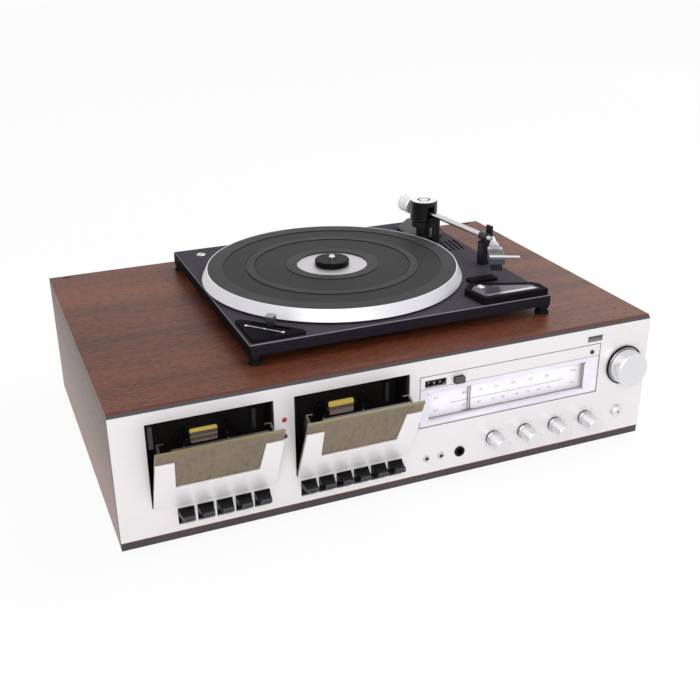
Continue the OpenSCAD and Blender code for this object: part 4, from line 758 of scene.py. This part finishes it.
def deck_pins():
    """The locating pin beside each reel hub."""
    hub_half, off_hub, up = 21.25, 1, 71.6
    profile = [(0, 0), (1.1, 0), (1.1, 4.4), (0.9, 5.2), (0.4, 5.6), (0, 5.7)]
    bm = bmesh.new()
    for x in DECK_X:
        for hub in (x - hub_half, x + hub_half):
            add_lathe(bm, profile, Matrix.Translation(at(hub + off_hub, WELL_BACK, up)) @ FACING, steps=16)
    finish_piece("deck_pins", bm, bare_steel, smooth=True)


def lamp_ribs():
    """The ribs across each lamp plate, under its lit field."""
    half_width, pitch, lowest, seat = 13.2, 5.0, 75.5, 0.1
    profile = [(0, -3.9), (0.5, -3.6), (0.6, -1.95), (0.5, -0.3), (0, 0)]
    face = (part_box("lamp_plates")[0].y - front_y) / MM + seat
    bm = bmesh.new()
    for x, up in zip(DECK_X, LAMP_LIMITS):
        while up > lowest:
            add_bar(bm, [(face - out, up + rise) for out, rise in profile], x - half_width, x + half_width)
            up -= pitch
    finish_piece("lamp_ribs", bm, moulded("rib_brown", linear(138, 120, 114), 0.3))


def key_lips():
    """The raised outline on each key's front lip."""
    edge_grey = plastic("key_edge", linear(96, 95, 98), 0.35)
    half, line = 4.7 * MM, 0.45 * MM
    bottom, top = panel_z + 16.7 * MM, panel_z + 20.9 * MM
    for name in KEYS:
        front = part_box(name)[0].y
        left, right = middle(name).x - half, middle(name).x + half
        bm = bmesh.new()
        for x0, x1, z0, z1 in ((left, right, top - line, top), (left, right, bottom, bottom + line),
                               (left, left + line, bottom + line, top - line),
                               (right - line, right, bottom + line, top - line)):
            add_box(bm, Vector((x0, front - INK, z0)), Vector((x1, front + INK, z1)))
        finish_piece(name + "_lip", bm, edge_grey, name)


def speed_print():
    """A line with three dots beside the speed lever."""
    up = 155.5
    start, stop = Vector((-132.3, 87)), Vector((-104.6, 57.2))
    half_line, dot_t = 0.4 * MM, 0.1
    along = stop - start
    half = Vector((along.length / 2 * MM, half_line, INK))
    place = at(*((start + stop) / 2), up)
    bm = bmesh.new()
    add_box(bm, place - half, place + half, Matrix.Rotation(math.atan2(along.y, along.x), 4, "Z"))
    for share, radius in ((0, 1.7), (0.5, 1.3), (1, 1.7)):
        spot = start + along * share
        profile = [(0, 0), (radius, 0), (radius, dot_t), (0, dot_t)]
        add_lathe(bm, profile, Matrix.Translation(at(*spot, up)), steps=20)
    finish_piece("speed_print", bm, print_white)


def transit_screws():
    chrome = turned("screw_chrome", (0.62, 0.61, 0.6, 1), 0.2, (0, 0, 0), "XY")
    profile = [(0, 0), (4.4, 0), (4.4, 0.5), (3.6, 1.0), (3.2, 1.1), (3.0, 0.5), (1.2, 0.5), (1.0, 0.9),
               (0, 1.1)]
    bm = bmesh.new()
    for x, back, up, size in ((124.6, 81.4, 158.4, 1.05), (-114.6, 322, CHASSIS_UP, 1.25)):
        sized = [(radius * size, height) for radius, height in profile]
        add_lathe(bm, sized, Matrix.Translation(at(x, back, up)))
    finish_piece("transit_screws", bm, chrome, smooth=True)


def badge_inset():
    """The glossy bare plate sunk in the raised corner, with a satin strip along its front."""
    plate = [(181.3, 53.4), (115.6, 53.4), (111.7, 78.6), (121.2, 88.2), (177.6, 66.6)]
    plate_low, plate_high = 157.9, 158.4
    strip = [(176.5, 55.6), (119, 55.6), (118.3, 60.4), (175.5, 60.4)]
    strip_low, strip_high = 158.35, 158.5
    bm = bmesh.new()
    add_prism(bm, plate, plate_low, plate_high)
    glossy = plastic("inset_gloss", linear(72, 68, 79), 0.14, 300, 0.01 * MM)
    finish_piece("badge_inset", bm, glossy)
    bm = bmesh.new()
    add_prism(bm, strip, strip_low, strip_high)
    satin = brushed("strip_satin", (0.5, 0.49, 0.5, 1), 0.3, ALONG_X)
    finish_piece("badge_strip", bm, satin)


def hinge_leaves():
    """The brown blocks that close the lid hinges' notches at the top's rear edge."""
    half, front, back = 3.8 * MM, 3.4 * MM, 0.2 * MM
    low, high = 3.1 * MM, 0.1 * MM
    bm = bmesh.new()
    for x in (-HINGE_X * MM, HINGE_X * MM):
        add_box(bm, Vector((x - half, top_high.y - front, top_high.z - low)),
                Vector((x + half, top_high.y - back, top_high.z - high)))
    brown = plastic("hinge_brown", linear(96, 52, 38), 0.45)
    finish_piece("hinge_leaves", bm, brown, bevel=0.3 * MM)


def terminal_clips():
    """The push clips of the speaker terminals, red and black in turn."""
    blocks, clips, pitch, half_width = (60, 130), 4, 12.5, 3.7
    profile = [(0, 49.4), (0, 57.6), (4.6, 56.6), (5.4, 54.6), (3.6, 49.8)]
    outline = [(TERMINAL_BACK + out, up) for out, up in profile]
    red = plastic("clip_red", linear(150, 30, 28), 0.35)
    dark = plastic("clip_black", linear(30, 30, 32), 0.35)
    for name, look, first in (("clips_red", red, 0), ("clips_black", dark, 1)):
        bm = bmesh.new()
        for x in blocks:
            for i in range(first, clips, 2):
                place = x + (i - (clips - 1) / 2) * pitch
                add_bar(bm, outline, place - half_width, place + half_width)
        finish_piece(name, bm, look, bevel=0.4 * MM)


def rear_screws():
    """The aerial strip's screws and the rear panel's own."""
    behind = Matrix.Rotation(math.radians(-90), 4, "X")
    strip_x, strip_up, strip_screws, pitch = -20, 48, 4, 14.6
    strip_head = [(0, 0), (1.6, 0), (3.4, 0.6), (3.4, 1.4), (2.8, 2.0), (0, 2.2)]
    panel_head = [(0, 0), (3.2, 0), (3.2, 0.5), (2.4, 1.3), (1.2, 1.7), (0, 1.8)]
    side_x, low, high = 262, 8, 108
    bm = bmesh.new()
    for i in range(strip_screws):
        x = strip_x + (i - (strip_screws - 1) / 2) * pitch
        add_lathe(bm, strip_head, Matrix.Translation(at(x, TERMINAL_BACK, strip_up)) @ behind, steps=20)
    for x in (-side_x, side_x, 0):
        for up in (low, high):
            add_lathe(bm, panel_head, Matrix.Translation(at(x, REAR_BACK, up)) @ behind, steps=20)
    finish_piece("rear_screws", bm, bare_steel, smooth=True)


dial_figures()
panel_lines()
counter_figures()
badge_plate()
lower_line()
deck_leaves()
deck_pins()
lamp_ribs()
key_lips()
speed_print()
transit_screws()
badge_inset()
hinge_leaves()
terminal_clips()
rear_screws()


# Stage: pale floor, soft light and the photograph's camera
def stage_floor():
    half = 6.0
    corners = [(-half, -half, 0), (half, -half, 0), (half, half, 0), (-half, half, 0)]
    mesh = bpy.data.meshes.new("floor")
    mesh.from_pydata(corners, [], [(0, 1, 2, 3)])
    floor = bpy.data.objects.new("floor", mesh)
    bpy.context.scene.collection.objects.link(floor)
    look = Look("floor_white", (0.95, 0.95, 0.95, 1), 0.8)
    light_path = look.node("ShaderNodeLightPath")
    direct = look.math("MAXIMUM", light_path.outputs["Is Camera Ray"], light_path.outputs["Is Glossy Ray"])
    seen = look.math("MAXIMUM", direct, light_path.outputs["Is Transmission Ray"])
    glow = look.node("ShaderNodeEmission", {"Color": (1, 1, 1, 1), "Strength": 1.0})
    white_share = 0.93
    blend = look.node("ShaderNodeMixShader", {0: look.math("MULTIPLY", seen, white_share)})
    look.feed(look.shader.outputs[0], blend.inputs[1])
    look.feed(glow.outputs[0], blend.inputs[2])
    look.feed(blend.outputs[0], look.tree.nodes["Material Output"].inputs["Surface"])
    mesh.materials.append(look.material)


def stage_world():
    world = bpy.data.worlds.new("studio")
    bpy.context.scene.world = world
    world.use_nodes = True
    tree = world.node_tree
    room_light = 0.55
    lit = tree.nodes["Background"]
    white = tree.nodes.new("ShaderNodeBackground")
    for background, strength in ((lit, room_light), (white, 1.0)):
        background.inputs["Color"].default_value = (1, 1, 1, 1)
        background.inputs["Strength"].default_value = strength
    light_path = tree.nodes.new("ShaderNodeLightPath")
    seen = light_path.outputs["Is Camera Ray"]
    for ray in ("Is Glossy Ray", "Is Transmission Ray"):
        either = tree.nodes.new("ShaderNodeMath")
        either.operation = "MAXIMUM"
        tree.links.new(seen, either.inputs[0])
        tree.links.new(light_path.outputs[ray], either.inputs[1])
        seen = either.outputs[0]
    blend = tree.nodes.new("ShaderNodeMixShader")
    tree.links.new(seen, blend.inputs[0])
    tree.links.new(lit.outputs[0], blend.inputs[1])
    tree.links.new(white.outputs[0], blend.inputs[2])
    tree.links.new(blend.outputs[0], tree.nodes["World Output"].inputs["Surface"])


def lamp(name, place, target, size, power):
    light = bpy.data.lights.new(name, "AREA")
    light.size = size
    light.energy = power
    made = bpy.data.objects.new(name, light)
    made.location = place
    made.rotation_euler = (Vector(target) - Vector(place)).to_track_quat("-Z", "Y").to_euler()
    bpy.context.scene.collection.objects.link(made)


def stage_camera():
    camera = bpy.data.cameras.new("camera")
    camera.lens = 50.37
    camera.sensor_width = 36
    made = bpy.data.objects.new("camera", camera)
    made.location = (-0.377, front_y - 0.7597, panel_z + 0.5242)
    made.rotation_euler = Euler((math.radians(65.692), math.radians(0.306), math.radians(-22.820)))
    bpy.context.scene.collection.objects.link(made)
    bpy.context.scene.camera = made


stage_floor()
stage_world()
lamp("key", (0.9, 0.1, 1.6), target=(0, 0, 0.1), size=1.2, power=14)
lamp("front", (-0.6, -1.7, 0.85), target=(0, 0, 0.1), size=1.4, power=13.5)
lamp("back", (2.2, 1.7, 0.95), target=(0, 0, 0.15), size=1.5, power=4.5)
stage_camera()
bpy.context.scene.view_settings.view_transform = "Standard"
